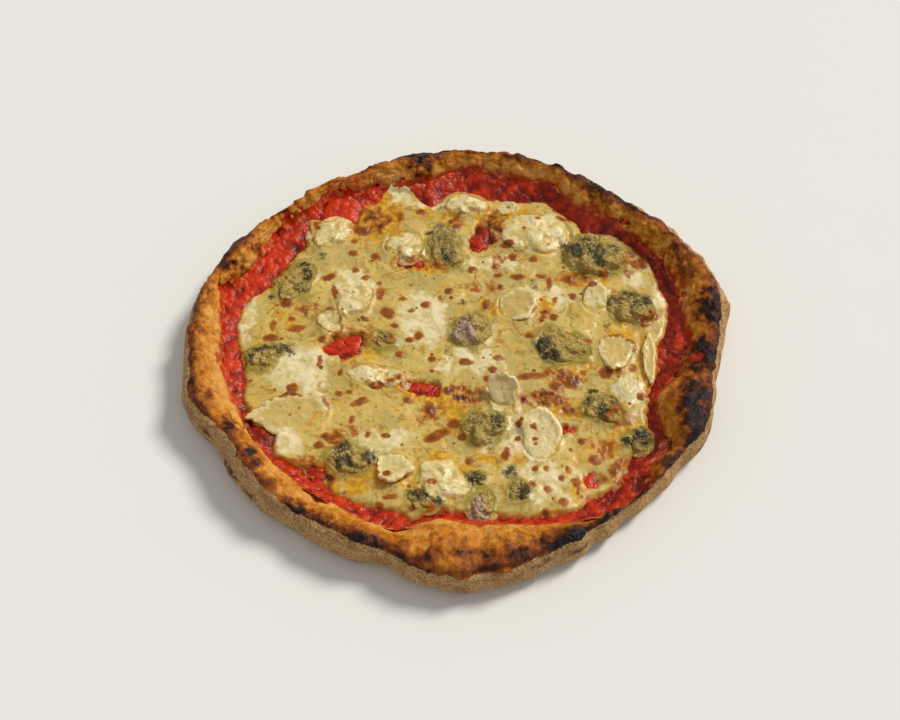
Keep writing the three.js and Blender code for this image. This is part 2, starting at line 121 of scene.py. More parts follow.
CHEESE_RADIUS = 115
CHEESE_BULGES = [
    (3, 5, -4.5), (26, 20, 11), (38, 10, 3.5), (50, 2.5, -7), (62, 10, 2), (65, 4, 6), (89, 7, 5.5),
    (95, 30, -4.5), (100, 3, -5), (109, 4, 7), (118, 4, 5), (122, 10, 4), (126, 4, -7), (135, 3, 10),
    (160, 4, -3), (172, 12, 8.5), (178, 5, 2.5), (200, 12, 5), (210, 2.5, -6), (217, 4, 4.5), (265, 40, -8.5),
    (303, 6, 2.5), (315, 7, 6), (331, 4, 6), (345, 22, -7),
]
CHEESE_LOBE = 1.6
CHEESE_TO_RIM = 3.5
TOPPING_BOTTOM = 7.0

# Openings in the melted cheese, and toppings: x, y, length, width, turn (and the height of the top).
SAUCE_WINDOWS = [
    (-30, 60, 16, 9, 0), (12, 80, 21, 14, 70), (-63, -1, 21, 15, 20), (-19, -27, 20, 9, -10),
    (58, -50, 10, 6, 0), (70, -80, 10, 8, 90), (-71, -80, 12, 8, -30),
]
BLUE_CHEESE = [
    (-93, 42, 31, 19, 62, 13), (-106, -10, 19, 15, 20, 12.5), (-9, 71, 34, 20, 100, 13.5),
    (77, 67, 38, 28, -15, 16), (96, 30, 27, 20, -20, 14.5), (57, 3, 32, 22, -15, 13.5),
    (14, -51, 24, 20, 10, 14.5), (78, -37, 23, 18, -25, 13), (95, -56, 14, 12, 30, 12.5),
    (-55, -72, 23, 18, -20, 13.5), (-17, -95, 15, 10, -15, 12), (32, -88, 14, 11, 80, 12),
    (11, -82, 10, 8, 0, 11.5), (14, -96, 16, 13, 60, 12), (7, 12, 24, 20, 50, 15.5),
    (-42, 4, 14, 12, 0, 11.5),
]
RIND_PIECES = {14, 15}
CURDS = [
    (43, 84, 46, 33, 0, 13.5), (2, 104, 28, 17, -5, 13), (-76, 79, 26, 20, 40, 13), (-33, 72, 24, 22, 0, 13),
    (-60, 31, 26, 23, 70, 12.5), (-44, -21, 34, 17, -10, 12), (-6, -83, 30, 25, -35, 13),
]
# Slices: x, y, length, width, turn, point, thickness, level, lean, pitch.
SLICES = [
    (-88, -46, 44, 25, 8, 0.5, 4, 9.4, -4, 10), (24, -30, 22, 16, 100, 0.25, 3.5, 13, 4, 38),
    (44, -55, 31, 21, 95, 0.1, 5, 10.6, 6, 4), (32, 30, 24, 21, 35, 0.2, 4, 10, 10, 0),
    (86, 0, 25, 20, 80, 0.15, 4, 10, 5, -8), (104, -4, 33, 7, 88, 0.1, 5, 10, 0, 0),
    (76, 36, 22, 14, 75, 0.2, 3.5, 10, 6, 8), (26, 101, 12, 10, 20, 0.2, 4, 10, 8, 0),
    (-71, 14, 18, 13, 110, 0.3, 4, 10, 10, 0), (-32, -77, 20, 18, -40, 0.2, 4, 10.6, 14, 0),
    (92, -21, 15, 10, 80, 0.1, 3, 9.6, 3, 0),
]
BLUE_ROUGHNESS = 0.14
CURD_ROUGHNESS = 0.09
# How far the foot of a topping flares out under the cheese.
BLUE_FLARE = 2.6
CURD_FLARE = 3.0
WINDOW_TEAR = 0.2
SLICE_TEAR = 0.1

# ---- what the oven did: places on the pizza's plan ----

# Spots by how strong they are: x, y, length, width, and turn where they have one.
# Brown spots on the cheese.
BROWN_SPOTS = {
    1: [(-97, 27, 5, 4), (53, 23, 5, 4), (-5, -28, 6, 4), (-35, -81, 4, 3), (62, -20, 8, 8)],
    0.95: [(-3, 87, 5, 5), (27, 74, 7, 4, 15), (15, 30, 7, 4, 80), (-1, -49, 6, 5)],
    0.9: [(-6, 39, 5, 4), (-103, 3, 8, 4, 5), (62, 50, 6, 5), (-14, -40, 8, 5, 100), (53, -23, 7, 5),
        (3, -57, 4, 3), (98, -28, 4, 4)],
    0.85: [(-52, 18, 5, 3), (-58, 82, 9, 6, -20), (33, 51, 7, 4, 5), (74, 44, 6, 3, 10), (109, 25, 5, 5),
        (-10, -56, 13, 5, 25), (-71, -64, 5, 4), (16, -20, 4, 4), (19, -14, 4, 4, 20), (57, -14, 5, 4),
        (80, -14, 7, 6)],
    0.8: [(-40, 23, 7, 6, -40), (-37, 5, 4, 4), (-93, 17, 4, 3), (7, 55, 5, 5), (46, 52, 5, 3),
        (23, 43, 3, 3), (64, 38, 4, 4), (59, 95, 6, 4, 5), (39, 10, 4, 4), (82, 54, 5, 4), (103, 20, 5, 4),
        (-26, -35, 4, 4), (-63, -59, 9, 3, 20), (91, -76, 7, 4, 20)],
    0.75: [(-62, 65, 5, 4), (-75, 47, 7, 4, 20), (-22, 8, 6, 4, 40), (-90, 10, 9, 4, 10), (-24, 98, 6, 4, 10),
        (-85, 85, 8, 3, 110), (51, 47, 9, 3, 85), (71, 6, 5, 4), (-32, -5, 4, 4), (-88, -29, 6, 5),
        (-52, -37, 8, 4, 30), (-12, -98, 4, 4), (4, -9, 7, 4), (33, -48, 5, 3, 80), (7, -71, 4, 4),
        (72, -68, 6, 5), (82, -74, 6, 4)],
    0.7: [(-49, 63, 5, 4, -30), (-60, 53, 4, 4), (-54, 47, 4, 4), (-75, 3, 4, 4), (-36, 94, 7, 4, 100),
        (30, 66, 4, 5), (22, 52, 4, 3), (96, 56, 5, 4), (105, 64, 8, 5, 95), (-43, -27, 7, 4),
        (40, -17, 15, 4, 5), (46, -99, 4, 4), (58, -74, 3, 3), (66, -57, 5, 4), (95, -10, 4, 5)],
    0.65: [(-19, 29, 5, 4, 30), (-36, 14, 4, 3), (-14, -8, 4, 4), (-37, -57, 4, 3), (-33, -93, 7, 3),
        (-38, -98, 4, 4), (-21, -99, 3, 3), (87, -13, 4, 3), (26, -66, 7, 4, 80), (54, -79, 3, 3),
        (62, -81, 5, 4, 90), (63, -86, 4, 3, 80), (83, -80, 4, 3)],
    0.6: [(-46, 44, 3, 3), (-71, 36, 10, 3, 100), (-32, 33, 4, 3), (-27, 5, 5, 3, 10), (-103, 12, 7, 3, 90),
        (-62, 74, 4, 3), (42, 64, 5, 3), (45, 93, 3, 2), (-63, -18, 4, 3, 90), (-63, -32, 4, 3),
        (-58, -31, 3, 3), (-55, -48, 4, 3, 90), (-46, -57, 3, 3), (68, -14, 3, 3), (22, -6, 6, 3),
        (40, -51, 3, 3), (32, -57, 3, 3), (41, -74, 3, 3), (47, -74, 3, 3), (39, -84, 4, 4), (47, -86, 4, 4),
        (55, -93, 5, 4)],
    0.55: [(9, 41, 6, 3), (54, 35, 4, 3, 90), (-12, -85, 4, 3), (41, -58, 3, 2)],
    0.5: [(-45, 36, 8, 4, 85), (-27, 25, 4, 3, 20), (-11, 34, 3, 3), (-75, -12, 7, 3, 90)],
}
# Toasted golden stretches, where oil and sauce have browned the cheese.
TOASTED = {
    0.78: [(46, -32, 28, 12, 5)],
    0.75: [(18, 86, 26, 13, 75)],
    0.72: [(4, -31, 22, 17, -20)],
    0.65: [(-72, -81, 30, 16, -40)],
    0.62: [(-52, 90, 30, 24, 20), (64, 51, 30, 8, -5), (60, -38, 16, 8)],
    0.6: [(77, -62, 13, 15, 20), (56, -17, 24, 10, -10), (-25, -24, 36, 10, -8), (88, -72, 30, 12, 30),
        (105, 23, 12, 9, 40), (-98, 60, 40, 9, 60)],
    0.55: [(-4, 92, 14, 12), (-13, -42, 16, 13), (-58, 4, 26, 18, 10), (-62, -58, 24, 9, 20),
        (-22, 58, 34, 9, -5), (47, 24, 16, 9, 45)],
    0.5: [(-82, 24, 18, 12, -30), (22, 62, 16, 7, 80)],
    0.45: [(84, -40, 22, 16, -40)],
    0.4: [(98, 66, 20, 16, 20)],
    0.35: [(12, 44, 22, 8)],
}
# Stretches of oily, see-through cheese.
OILY = {
    1.4: [(-2, -38, 18, 18)],
    1.3: [(-50, 92, 30, 38)],
    1.2: [(46, 30, 16, 13, 30), (-84, -79, 28, 9, -35)],
    1.1: [(18, 92, 20, 22), (75, -60, 18, 14), (-54, -88, 20, 11)],
    1: [(-101, 50, 15, 32, 20), (70, 50, 28, 11), (-20, 57, 34, 9, -5), (103, -2, 10, 36)],
    0.9: [(88, 6, 36, 18, 80), (-8, -70, 16, 9), (15, 28, 11, 13)],
    0.8: [(5, -48, 16, 24), (-20, -30, 30, 12, -10)],
    0.7: [(-52, -5, 24, 20), (32, 100, 24, 12), (60, -38, 24, 14)],
    0.6: [(-62, -70, 18, 26), (-34, -80, 34, 20), (62, -12, 26, 16), (4, -78, 20, 14)],
    0.5: [(-96, 14, 24, 18), (88, -48, 18, 24), (-16, 96, 30, 14), (62, -84, 16, 24), (24, -70, 30, 14)],
    0.4: [(30, 30, 24, 22), (90, 66, 30, 26), (-84, -44, 42, 22, 8)],
    0.3: [(-62, 30, 22, 26)],
}
# Milky stretches of fresh-looking cheese.
MILKY = {
    1: [(-38, 112, 16, 26, 10), (-88, -62, 22, 14, -40)],
    0.8: [(-85, -18, 34, 34)],
    0.75: [(-20, 20, 30, 40, 20)],
    0.7: [(92, -24, 16, 22)],
    0.6: [(5, -8, 44, 20), (46, 34, 40, 26, 20), (30, -60, 34, 44), (50, -84, 40, 26), (114, 38, 10, 30)],
    0.55: [(-62, 42, 34, 30)],
    0.5: [(-40, -62, 40, 20, 20), (20, 60, 44, 14), (-20, 104, 26, 9), (100, 56, 18, 24), (-118, 20, 12, 44)],
}
# Burns on the rim.
BURNS = {
    1.1: [(62, -118, 13, 10)],
    1: [(-25, 124, 16, 12, 90), (136, 24, 20, 11, 95), (131, -8, 18, 15, 80), (122, -42, 34, 12, 85)],
    0.9: [(95, -95, 10, 9, 45)],
    0.85: [(79, -107, 12, 8, 20), (-126, 44, 14, 11, 60)],
    0.7: [(-15, 131, 9, 8), (121, -62, 10, 8), (-117, 61, 14, 9, 50)],
    0.6: [(58, 124, 11, 10), (-77, -105, 12, 8, -30), (-117, -58, 14, 8, -55)],
    0.55: [(48, -120, 14, 7, 5)],
    0.5: [(106, 77, 26, 12, -52), (122, 58, 26, 12, -65), (30, -127, 12, 6, 5), (-45, -123, 18, 9, -15),
        (-102, -78, 13, 8, -45), (-139, 47, 6, 5)],
    0.45: [(82, 103, 40, 12, -42), (109, -72, 12, 9, 45), (-12, -130, 12, 6)],
    0.4: [(-62, -114, 12, 7, -30), (-138, 20, 12, 8, 95)],
    0.35: [(10, -128, 16, 5), (-129, -41, 8, 6, -60), (-104, 82, 12, 6, 40), (30, 132, 14, 6, -10)],
    0.3: [(-139, -2, 10, 6, 90), (5, 133, 12, 5), (-60, 119, 12, 6, 20)],
}
# Tomato that has run onto the inside of the rim.
RIM_STAINS = {
    1.2: [(125, 8, 17, 8, 75), (127, -10, 9, 7)],
    1: [(-129, -15, 12, 4, 95)],
    0.8: [(-127, 6, 8, 4, 80), (100, -72, 18, 8, 50)],
    0.7: [(-70, 108, 30, 8, 35)],
    0.6: [(-20, -112, 30, 6, -8)],
    0.5: [(88, 88, 30, 6, -45)],
}
# Blue-green mould, in the crumbles and washed out of them.
MOULD = {
    1: [(-89, 54, 9, 5, 5), (66, 68, 11, 10), (46, 3, 11, 9), (21, -48, 8, 14, -15), (35, -88, 8, 10),
        (97, -54, 12, 13)],
    0.95: [(-45, -71, 7, 11, -20)],
    0.9: [(-87, 47, 6, 9), (-57, -75, 11, 9)],
    0.85: [(78, 66, 11, 17, 20), (50, -4, 12, 8, -20), (-18, -92, 14, 7, -20)],
    0.8: [(105, 36, 8, 11), (-59, -66, 9, 13), (84, -34, 6, 11, 20), (90, -57, 9, 7)],
    0.75: [(-97, 27, 8, 5, 20), (96, 39, 16, 8), (-107, -5, 15, 5, 20), (10, -81, 11, 8, 20),
        (73, -26, 9, 4)],
    0.7: [(-17, 81, 9, 5), (61, 74, 8, 9), (73, 76, 11, 8), (-96, -4, 16, 8, -20), (-113, -12, 6, 9),
        (77, -40, 10, 13)],
    0.65: [(-7, 63, 9, 13), (70, -33, 6, 9)],
    0.6: [(-80, 62, 7, 5, 40), (88, 72, 9, 16), (86, 35, 9, 9), (-9, -95, 9, 6), (28, -76, 9, 9),
        (2, 19, 8, 5, 60), (2, 31, 5, 6)],
    0.55: [(100, 31, 14, 9)],
    0.5: [(-105, 31, 7, 5), (-86, 22, 6, 5), (-39, 5, 9, 7), (80, 85, 18, 8, -20), (82, 18, 5, 7),
        (90, -44, 7, 6)],
    0.45: [(-89, 38, 12, 7, 60), (42, 45, 6, 9)],
    0.42: [(-10, 72, 12, 26)],
    0.4: [(-13, 87, 16, 6), (22, -72, 6, 8)],
    0.35: [(10, -47, 14, 11), (-5, -3, 6, 10)],
}
# Fresh and bright sauce.
BRIGHT_SAUCE = {
    1: [(123, 9, 17, 6, 85), (125, -10, 8, 7)],
    0.8: [(70, -80, 9, 8, 90)],
    0.7: [(-129, -15, 9, 4, 95), (58, -50, 9, 6)],
    0.6: [(-110, 50, 50, 14, 62)],
    0.5: [(-72, 96, 30, 26, 40)],
    0.3: [(-63, -1, 20, 14, 20)],
}
# Where the sauce is darker, as direction, span and amount: towards the right and the far side this is painted
# shade from the rim, elsewhere thick, dark sauce.
DEEP_SAUCE_AND_RIM_SHADE = [(60, 40, 0.3), (208, 9, 0.75), (340, 30, 0.5), (141, 9, 0.35), (110, 10, -0.2), (20, 20, 0.45)]
# Burnt streaks on the floury outer side: direction, height, width, height of the streak, how dark.
SIDE_BURNS = [
    (205, 15, 3, 4, 0.6), (216, 13, 3, 4, 1), (223, 12, 3, 3, 0.6), (198, 16, 2, 4, 0.5),
    (236, 13, 3, 3, 0.4), (268, 12, 6, 3, 0.45), (288, 14, 5, 3, 0.5), (297, 13, 4, 3, 0.6),
    (64, 12, 6, 6, 0.5), (48, 9, 5, 6, 0.6), (20, 8, 8, 6, 0.7), (345, 10, 12, 8, 0.8), (118, 9, 5, 5, 0.4),
    (150, 8, 6, 5, 0.4), (100, 12, 4, 4, 0.3),
]
# What the heat did round the rim, as direction, span and amount: where the floury side ends, and how much
# browner the crest and the inside are. Towards 45° the inside is made paler instead, as painted light on the
# slope that faces away from the key light.
FLOUR_LINE = 4.15
FLOUR_BULGES = [
    (218, 26, 0.5), (272, 16, -0.35), (150, 30, -0.5), (120, 20, -0.4), (28, 22, 0.5), (320, 20, -0.3),
]
BROWNER_CREST = [
    (50, 24, 0.18), (75, 20, 0.1), (350, 24, 0.1), (318, 10, 0.1), (295, 18, 0.12), (155, 12, 0.12),
    (200, 16, 0.03), (100, 14, 0.06), (180, 12, -0.06), (123, 12, -0.08),
]
# Painted light: the first entry makes the inside paler towards 45°, where the slope faces away from the key
# light.
INSIDE_BROWNING_AND_PAINTED_LIGHT = [
    (45, 30, -0.06), (0, 22, 0.14), (335, 18, 0.14), (275, 35, 0.1), (90, 18, 0.03), (305, 14, 0.08),
    (220, 20, 0.06),
]
# Baking across the rim: its place from the foot at 0, over the crest at 5, to the sauce at 8, and how baked.
BAKED_ACROSS = [
    (0, 0.3), (3, 0.42), (3.6, 0.48), (4.2, 0.56), (4.8, 0.45), (5.4, 0.31), (6.2, 0.15), (7, 0.05),
    (8, 0.04),
]
# Where the cheese runs out over the sauce and onto the rim: direction, span and how far, and the most of it.
STRANDS = [(109, 3.4, 26), (135, 3, 3), (44, 3, 1.5)]
STRAND_REACH = 7
# How each slice stands out: the direction of its raised edge, how far that edge is up, pale and crisp, and
# how yellow its middle is.
SLICE_LOOKS = [
    (80, 0.4, 0.1, 0.9, 0.9), (50, 1, 1, 0.1, 0.3), (40, 0.8, 1, 0, 0.1), (330, 0.6, 0.8, 0.3, 1),
    (60, 0.4, 0.2, 0.9, 1), (180, 0.2, 0.1, 0.35, 1), (60, 0.4, 0.6, 0.1, 0), (60, 0.5, 0.8, 0.3, 0.2),
    (60, 0.9, 0.4, 1, 0.5), (200, 1, 0.9, 0.7, 0.5), (90, 0, 0.3, 0, 0),
]


def rgb(code):
    """Linear colour from a six-digit web colour."""
    shares = [int(code[i:i + 2], 16) / 255 for i in (0, 2, 4)]
    return tuple(s / 12.92 if s <= 0.04045 else ((s + 0.055) / 1.055) ** 2.4 for s in shares)


# ---- settings ----

def length(name, description, default):
    """A length setting, given in mm and kept in metres."""
    return FloatProperty(name=name, description=description, default=default * MM, unit="LENGTH", precision=5)


def colour(name, place, code):
    """A colour setting, and where the colour is."""
    text = f"Colour of {place}"
    return FloatVectorProperty(name=name, description=text, default=rgb(code), subtype="COLOR", min=0, max=1)


def count(name, description, default):
    """A number of steps in a grid."""
    return IntProperty(name=name, description=description, default=default, min=8)


class CrustSettings(bpy.types.PropertyGroup):
    """The baked dough: how finely it is made, its relief and its colours from pale to burnt."""

    turns: count("Turns", "Steps round the rim", 1000)
    rows: count("Rows", "Steps across the rim, from its foot to the sauce", 84)
    waviness: length("Waviness", "Depth of the broad unevenness of the rim", 1.4)
    blister: length("Blisters", "Height of the small blisters on the rim", 1.1)
    wrinkle: length("Wrinkles", "Depth of the wrinkles on the inner lip", 0.5)
    grain: length("Grain", "Depth of the finest relief", 0.2)
    pale: colour("Pale dough", "the least baked dough", "E0A656")
    golden: colour("Golden crust", "the well baked crust", "C67C1A")
    brown: colour("Brown crust", "the browned crust", "8C4A16")
    dark: colour("Dark crust", "the darkest crust that isn't burnt", "43190C")
    char: colour("Char", "the burnt bubbles", "151214")
    flour: colour("Floured side", "the floury outer side", "C49860")


class SauceSettings(bpy.types.PropertyGroup):
    """The tomato sauce: its pulp and its reds."""

    turns: count("Turns", "Steps round the sauce", 820)
    rows: count("Rows", "Steps across the sauce", 110)
    pulp: length("Pulp", "Height of the bits of tomato", 0.75)
    bright: colour("Bright sauce", "the freshest tomato", "CC320A")
    # The dark red is also the painted shade that the rim casts on the sauce.
    deep_and_shade: colour("Deep sauce", "the thick, dark sauce", "741203")


class MeltedCheeseSettings(bpy.types.PropertyGroup):
    """The melted cheese: its flow, its spots and its colours."""

    turns: count("Turns", "Steps round the cheese", 700)
    rows: count("Rows", "Steps across the cheese", 138)
    edge_run: length("Edge run", "Width over which the cheese rounds off at its edge", 4)
    flow: length("Flow", "Height of the folds in the melted cheese", 0.65)
    fresh: colour("Melted cheese", "the plain melted cheese", "D6BC6C")
    milk: colour("Milky cheese", "the milky patches", "F3E7BE")
    oil: colour("Oily cheese", "the oily, see-through cheese", "C68A14")
    toasted: colour("Toasted cheese", "the golden toasted cheese", "AA6210")
    burnt: colour("Burnt cheese", "the darkest spots", "521F04")


class BlueCheeseSettings(bpy.types.PropertyGroup):
    """The crumbled blue cheese: its crumb and its veins."""

    turns: count("Turns", "Steps round a crumble", 132)
    rows: count("Rows", "Steps up a crumble", 52)
    crumb: length("Crumb", "Depth of the crumbled surface", 0.75)
    paste: colour("Paste", "the pale paste", "C0A45C")
    vein: colour("Veins", "the blue veins", "76683A")
    mould: colour("Mould", "the darkest mould", "3A331A")
    rind: colour("Rind", "the mauve rind", "8E7466")


class SoftCheeseSettings(bpy.types.PropertyGroup):
    """The soft cheese in slices and curds."""

    turns: count("Turns", "Steps round a slice or a curd", 144)
    rows: count("Rows", "Steps up a slice or a curd", 52)
    softness: length("Softness", "Height of the dents in a curd", 0.7)
    paste: colour("Paste", "the soft cheese", "E6D69E")
    heart: colour("Heart", "the yellow inside of a slice", "CDAF5C")
    rim: colour("Rim", "the pale rim of a slice", "F0E2B4")
    crisp: colour("Crisp edge", "the crisp edges", "A86C22")


class StageSettings(bpy.types.PropertyGroup):
    """The floor, the light and the camera."""

    floor: colour("Floor", "the floor", "EEF0F2")
    sun: FloatProperty(name="Sunlight", description="Strength of the key light", default=2.5, min=0)
    softness: FloatProperty(
        name="Softness", description="Width of the key light in the sky", default=0.3, subtype="ANGLE")
    ambient: FloatProperty(name="Ambient", description="Strength of the light all round", default=0.4, min=0)
    lens: FloatProperty(name="Lens", description="Focal length", default=48, unit="CAMERA")


# ---- noise ----

def hashed(cell, seed):
    """A fixed 30-bit number for each whole-numbered cell, by mixing the bits of its place."""
    mixed = seed * 26544357
    for axis, factor in enumerate((73856093, 19349663, 83492791)):
        mixed = mixed ^ (cell[..., axis] * factor)
    for shift, factor in ((13, 1274126177), (17, 668265263)):
        mixed = ((mixed ^ (mixed >> shift)) * factor) & 0x7FFFFFFFFFFF
    return (mixed ^ (mixed >> 15)) & 0x3FFFFFFF


def directions(number):
    """Three shares from -1 to 1 out of each 30-bit number, ten bits for each."""
    return np.stack([number & 1023, (number >> 10) & 1023, number >> 20], -1) / 511.5 - 1


def noise(points, size, seed, octaves=1):
    """Smooth noise of about -1 to 1: slopes of random direction at the corners of cells of that size, blended
    by a smoothstep of the fifth degree, with octaves at half the size and half the strength added."""
    total, strength = 0, 1.0
    for octave in range(octaves):
        scaled = points / (size * 0.5 ** octave)
        cell = np.floor(scaled).astype(np.int64)
        part = scaled - cell
        blend = part ** 3 * (part * (part * 6 - 15) + 10)
        for corner in np.ndindex(2, 2, 2):
            slope = directions(hashed(cell + corner, seed + octave))
            weight = np.prod(np.where(corner, blend, 1 - blend), axis=-1)
            total = total + strength * weight * np.sum(slope * (part - corner), axis=-1)
        strength *= 0.5
    return 1.5 * total


def shifted(points, size, seed, by):
    """The points moved by noise of that size, by up to about that many mm along each axis."""
    return points + by * np.stack([noise(points, size, seed + step) for step in (0, 20, 40)], -1)


def crumbs(points, size, seed):
    """Distances, in cells of that size, from each point to the nearest and second nearest of points scattered
    one in each cell."""
    scaled = points / size
    cell = np.floor(scaled).astype(np.int64)
    nearest = np.full(points.shape[:-1], 9.0)
    second = nearest.copy()
    for step in np.ndindex(3, 3, 3):
        there = cell + step - 1
        away = np.linalg.norm(there + 0.5 + 0.5 * directions(hashed(there, seed)) - scaled, axis=-1)
        second = np.minimum(second, np.maximum(nearest, away))
        nearest = np.minimum(nearest, away)
    return nearest, second


def ease(value, low, high):
    """0 below low and 1 above high, by a smoothstep between them. low may be the higher of the two."""
    part = np.clip((value - low) / (high - low), 0, 1)
    return part * part * (3 - 2 * part)


def lerp(a, b, part):
    """The value at that share of the way from a to b."""
    return a + (b - a) * part


# ---- outlines of the solids ----

def bell(angle, at, span):
    """A bell round a direction, 1 on it and falling to 1/e at its span."""
    return np.exp(-((((angle - at + 180) % 360) - 180) / span) ** 2)


def around(base, bulges, angle):
    """A value that changes round the pizza: the base value and its bulges at the angle."""
    return base + sum(by * bell(angle, at, span) for at, span, by in bulges)


def tear(turn, seed_x, seed_y, depth):
    """How an edge is torn: 1 on the whole, deeper and shallower by the depth as it turns."""
    return 1 + depth * (0.6 * np.sin(3 * turn + seed_x) + 0.4 * np.sin(5 * turn + seed_y))


def swell(x, y):
    """A gentle unevenness from -1 to 1 over the plan, a sum of crossing waves."""
    long = np.sin(0.083 * x + 0.041 * y + 1.3)
    cross = np.sin(-0.052 * x + 0.097 * y + 4.1)
    short = np.sin(0.17 * x - 0.13 * y + 2.2)
    return 0.4 * long + 0.35 * cross + 0.25 * short


def inner_radius(angle):
    """Radius of the line where the dough goes under the sauce."""
    return around(INNER_RADIUS, INNER_BULGES, angle)


def crest_line(angle):
    """Radius and height of the rim's crest."""
    outer = around(OUTER_RADIUS, OUTER_BULGES, angle)
    inset = np.minimum(CREST_INSET, CREST_WIDTH_SHARE * (outer - inner_radius(angle)))
    return outer - inset, around(CREST_HEIGHT, CREST_BULGES, angle)


def cheese_radius(angle):
    """Radius of the melted cheese's edge: its bulges and small lobes, always clear of the rim."""
    turn = np.radians(angle)
    lobes = 0.6 * np.sin(11 * turn + 0.7) + 0.4 * np.sin(19 * turn + 2.9)
    reach = around(CHEESE_RADIUS, CHEESE_BULGES, angle) + CHEESE_LOBE * lobes
    return np.minimum(reach, inner_radius(angle) - CHEESE_TO_RIM)


def ground(radius, angle):
    """Height of what lies outside the cheese: the sauce climbs to its line as a power of the way there, and
    the inside of the rim to its crest as a parabola."""
    inner, shore = inner_radius(angle), cheese_radius(angle)
    line = around(SAUCE_LINE_HEIGHT, SAUCE_LINE_BULGES, angle)
    top, crest = crest_line(angle)
    climb = np.clip((radius - shore) / (inner - shore), 0, 1)
    rise = np.clip((radius - inner) / (top - inner), 0, 1)
    return lerp(SAUCE_TOP + SAUCE_SHORE, line, climb ** 0.85) + (crest - line) * (1 - (1 - rise) ** 2)


def oval_radius(turn, long, wide, x, y, roughness):
    """Radius of an uneven oval, at an angle in radians from its long axis."""
    reach = np.hypot(np.cos(turn) / (0.5 * long), np.sin(turn) / (0.5 * wide))
    return tear(turn, x, y, roughness) / reach


def oval_share(plan, roughness, x, y, long, wide, turn=0, *_):
    """How far out each place lies in an oval, 0 in its middle and 1 on its outline, and the outline's radius
    that way."""
    turned = np.radians(turn)
    along = (plan[..., 0] - x) * np.cos(turned) + (plan[..., 1] - y) * np.sin(turned)
    aside = (plan[..., 1] - y) * np.cos(turned) - (plan[..., 0] - x) * np.sin(turned)
    radius = oval_radius(np.arctan2(aside, along), long, wide, x, y, roughness)
    return np.hypot(along, aside) / radius, radius


def clearance(plan, ovals, roughness):
    """How many mm each place lies outside the nearest of some ovals, below 0 inside it."""
    gaps = [(out - 1) * radius for out, radius in (oval_share(plan, roughness, *oval) for oval in ovals)]
    return np.min(gaps, axis=0)


def strongest(plan, spots, fade):
    """The strongest of some spots at each place: a spot's strength times its fade, which goes by how far out
    the place lies, from 0 in the spot's middle to 1 on its outline and on."""
    best = np.zeros(plan.shape[:-1])
    for strength, ovals in spots.items():
        for oval in ovals:
            best = np.maximum(best, strength * fade(oval_share(plan, 0, *oval)[0]))
    return best


def patches(plan, spots, inmost=0.3, outmost=1.5):
    """Soft-edged spots that fade out from their inmost to their outmost share by a smoothstep."""
    return strongest(plan, spots, lambda out: ease(out, outmost, inmost))


# ---- meshes ----

def new_object(name, data):
    """A new object of the scene, unturned at the origin."""
    item = bpy.data.objects.new(name, data)
    bpy.context.scene.collection.objects.link(item)
    return item


def shell(name, points, material, node, values):
    """A closed smooth mesh from a grid of points in mm, with named numbers for each point. Its rows run from
    a pole under the piece, outwards, up and back to a pole on top, and its columns run round it."""
    rows, cols = points.shape[:2]
    low, high = (np.array(corner) / MM for corner in CAD_BOX)

    def flat(grid):
        """The grid's points in one row, with each pole once."""
        return np.concatenate([grid[0, :1], *grid[1:-1], grid[-1, :1]])

    column = np.arange(cols)
    beside = (column + 1) % cols
    last = 1 + (rows - 3) * cols
    row = (1 + np.arange(rows - 3) * cols)[:, None]
    above = row + cols
    quads = np.stack([row + column, row + beside, above + beside, above + column], -1).reshape(-1, 4)
    under = np.stack([0 * column, 1 + beside, 1 + column], -1)
    over = np.stack([last + column, last + beside, 0 * column + last + cols], -1)
    corners = np.concatenate([under.ravel(), quads.ravel(), over.ravel()])
    sides = np.repeat([3, 4, 3], [cols, len(quads), cols])
    vertices = flat(np.clip(points, low + BOX_CLEARANCE, high - BOX_CLEARANCE)) * MM
    mesh = bpy.data.meshes.new(name)
    mesh.vertices.add(len(vertices))
    mesh.vertices.foreach_set("co", vertices.astype(np.float32).ravel())
    mesh.loops.add(len(corners))
    mesh.loops.foreach_set("vertex_index", corners.astype(np.int32))
    mesh.polygons.add(len(sides))
    mesh.polygons.foreach_set("loop_start", (np.cumsum(sides) - sides).astype(np.int32))
    mesh.polygons.foreach_set("use_smooth", np.ones(len(sides), bool))
    mesh.update(calc_edges=True)
    for label, grid in values.items():
        numbers = flat(np.broadcast_to(grid, (rows, cols))).astype(np.float32)
        mesh.attributes.new(label, "FLOAT", "POINT").data.foreach_set("value", numbers)
    mesh.materials.append(material)
    piece = new_object(name, mesh)
    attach(piece, "root")
    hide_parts(node)


def raised(points, relief):
    """The grid with each point moved by the relief at it along its normal, which is across its columns times
    along its rows."""
    across = np.roll(points, -1, axis=1) - np.roll(points, 1, axis=1)
    normal = np.cross(across, np.gradient(points, axis=0))
    normal = normal / np.maximum(np.linalg.norm(normal, axis=-1, keepdims=True), 1e-9)
    return points + normal * relief[..., None]


def stacked(*parts):
    """Points from numbers or grids for x, y and z."""
    return np.stack(np.broadcast_arrays(*parts), -1)


def lifted(points, relief):
    """The grid with each point moved up by the relief at it."""
    return points + stacked(0, 0, relief)


def polar(radius, angle, height):
    """Points of a grid from radii, directions and heights."""
    turn = np.radians(angle)
    return stacked(radius * np.cos(turn), radius * np.sin(turn), height)


def even_turns(cols):
    """Directions of a grid's columns."""
    return np.arange(cols) * 360.0 / cols


# ---- crust ----

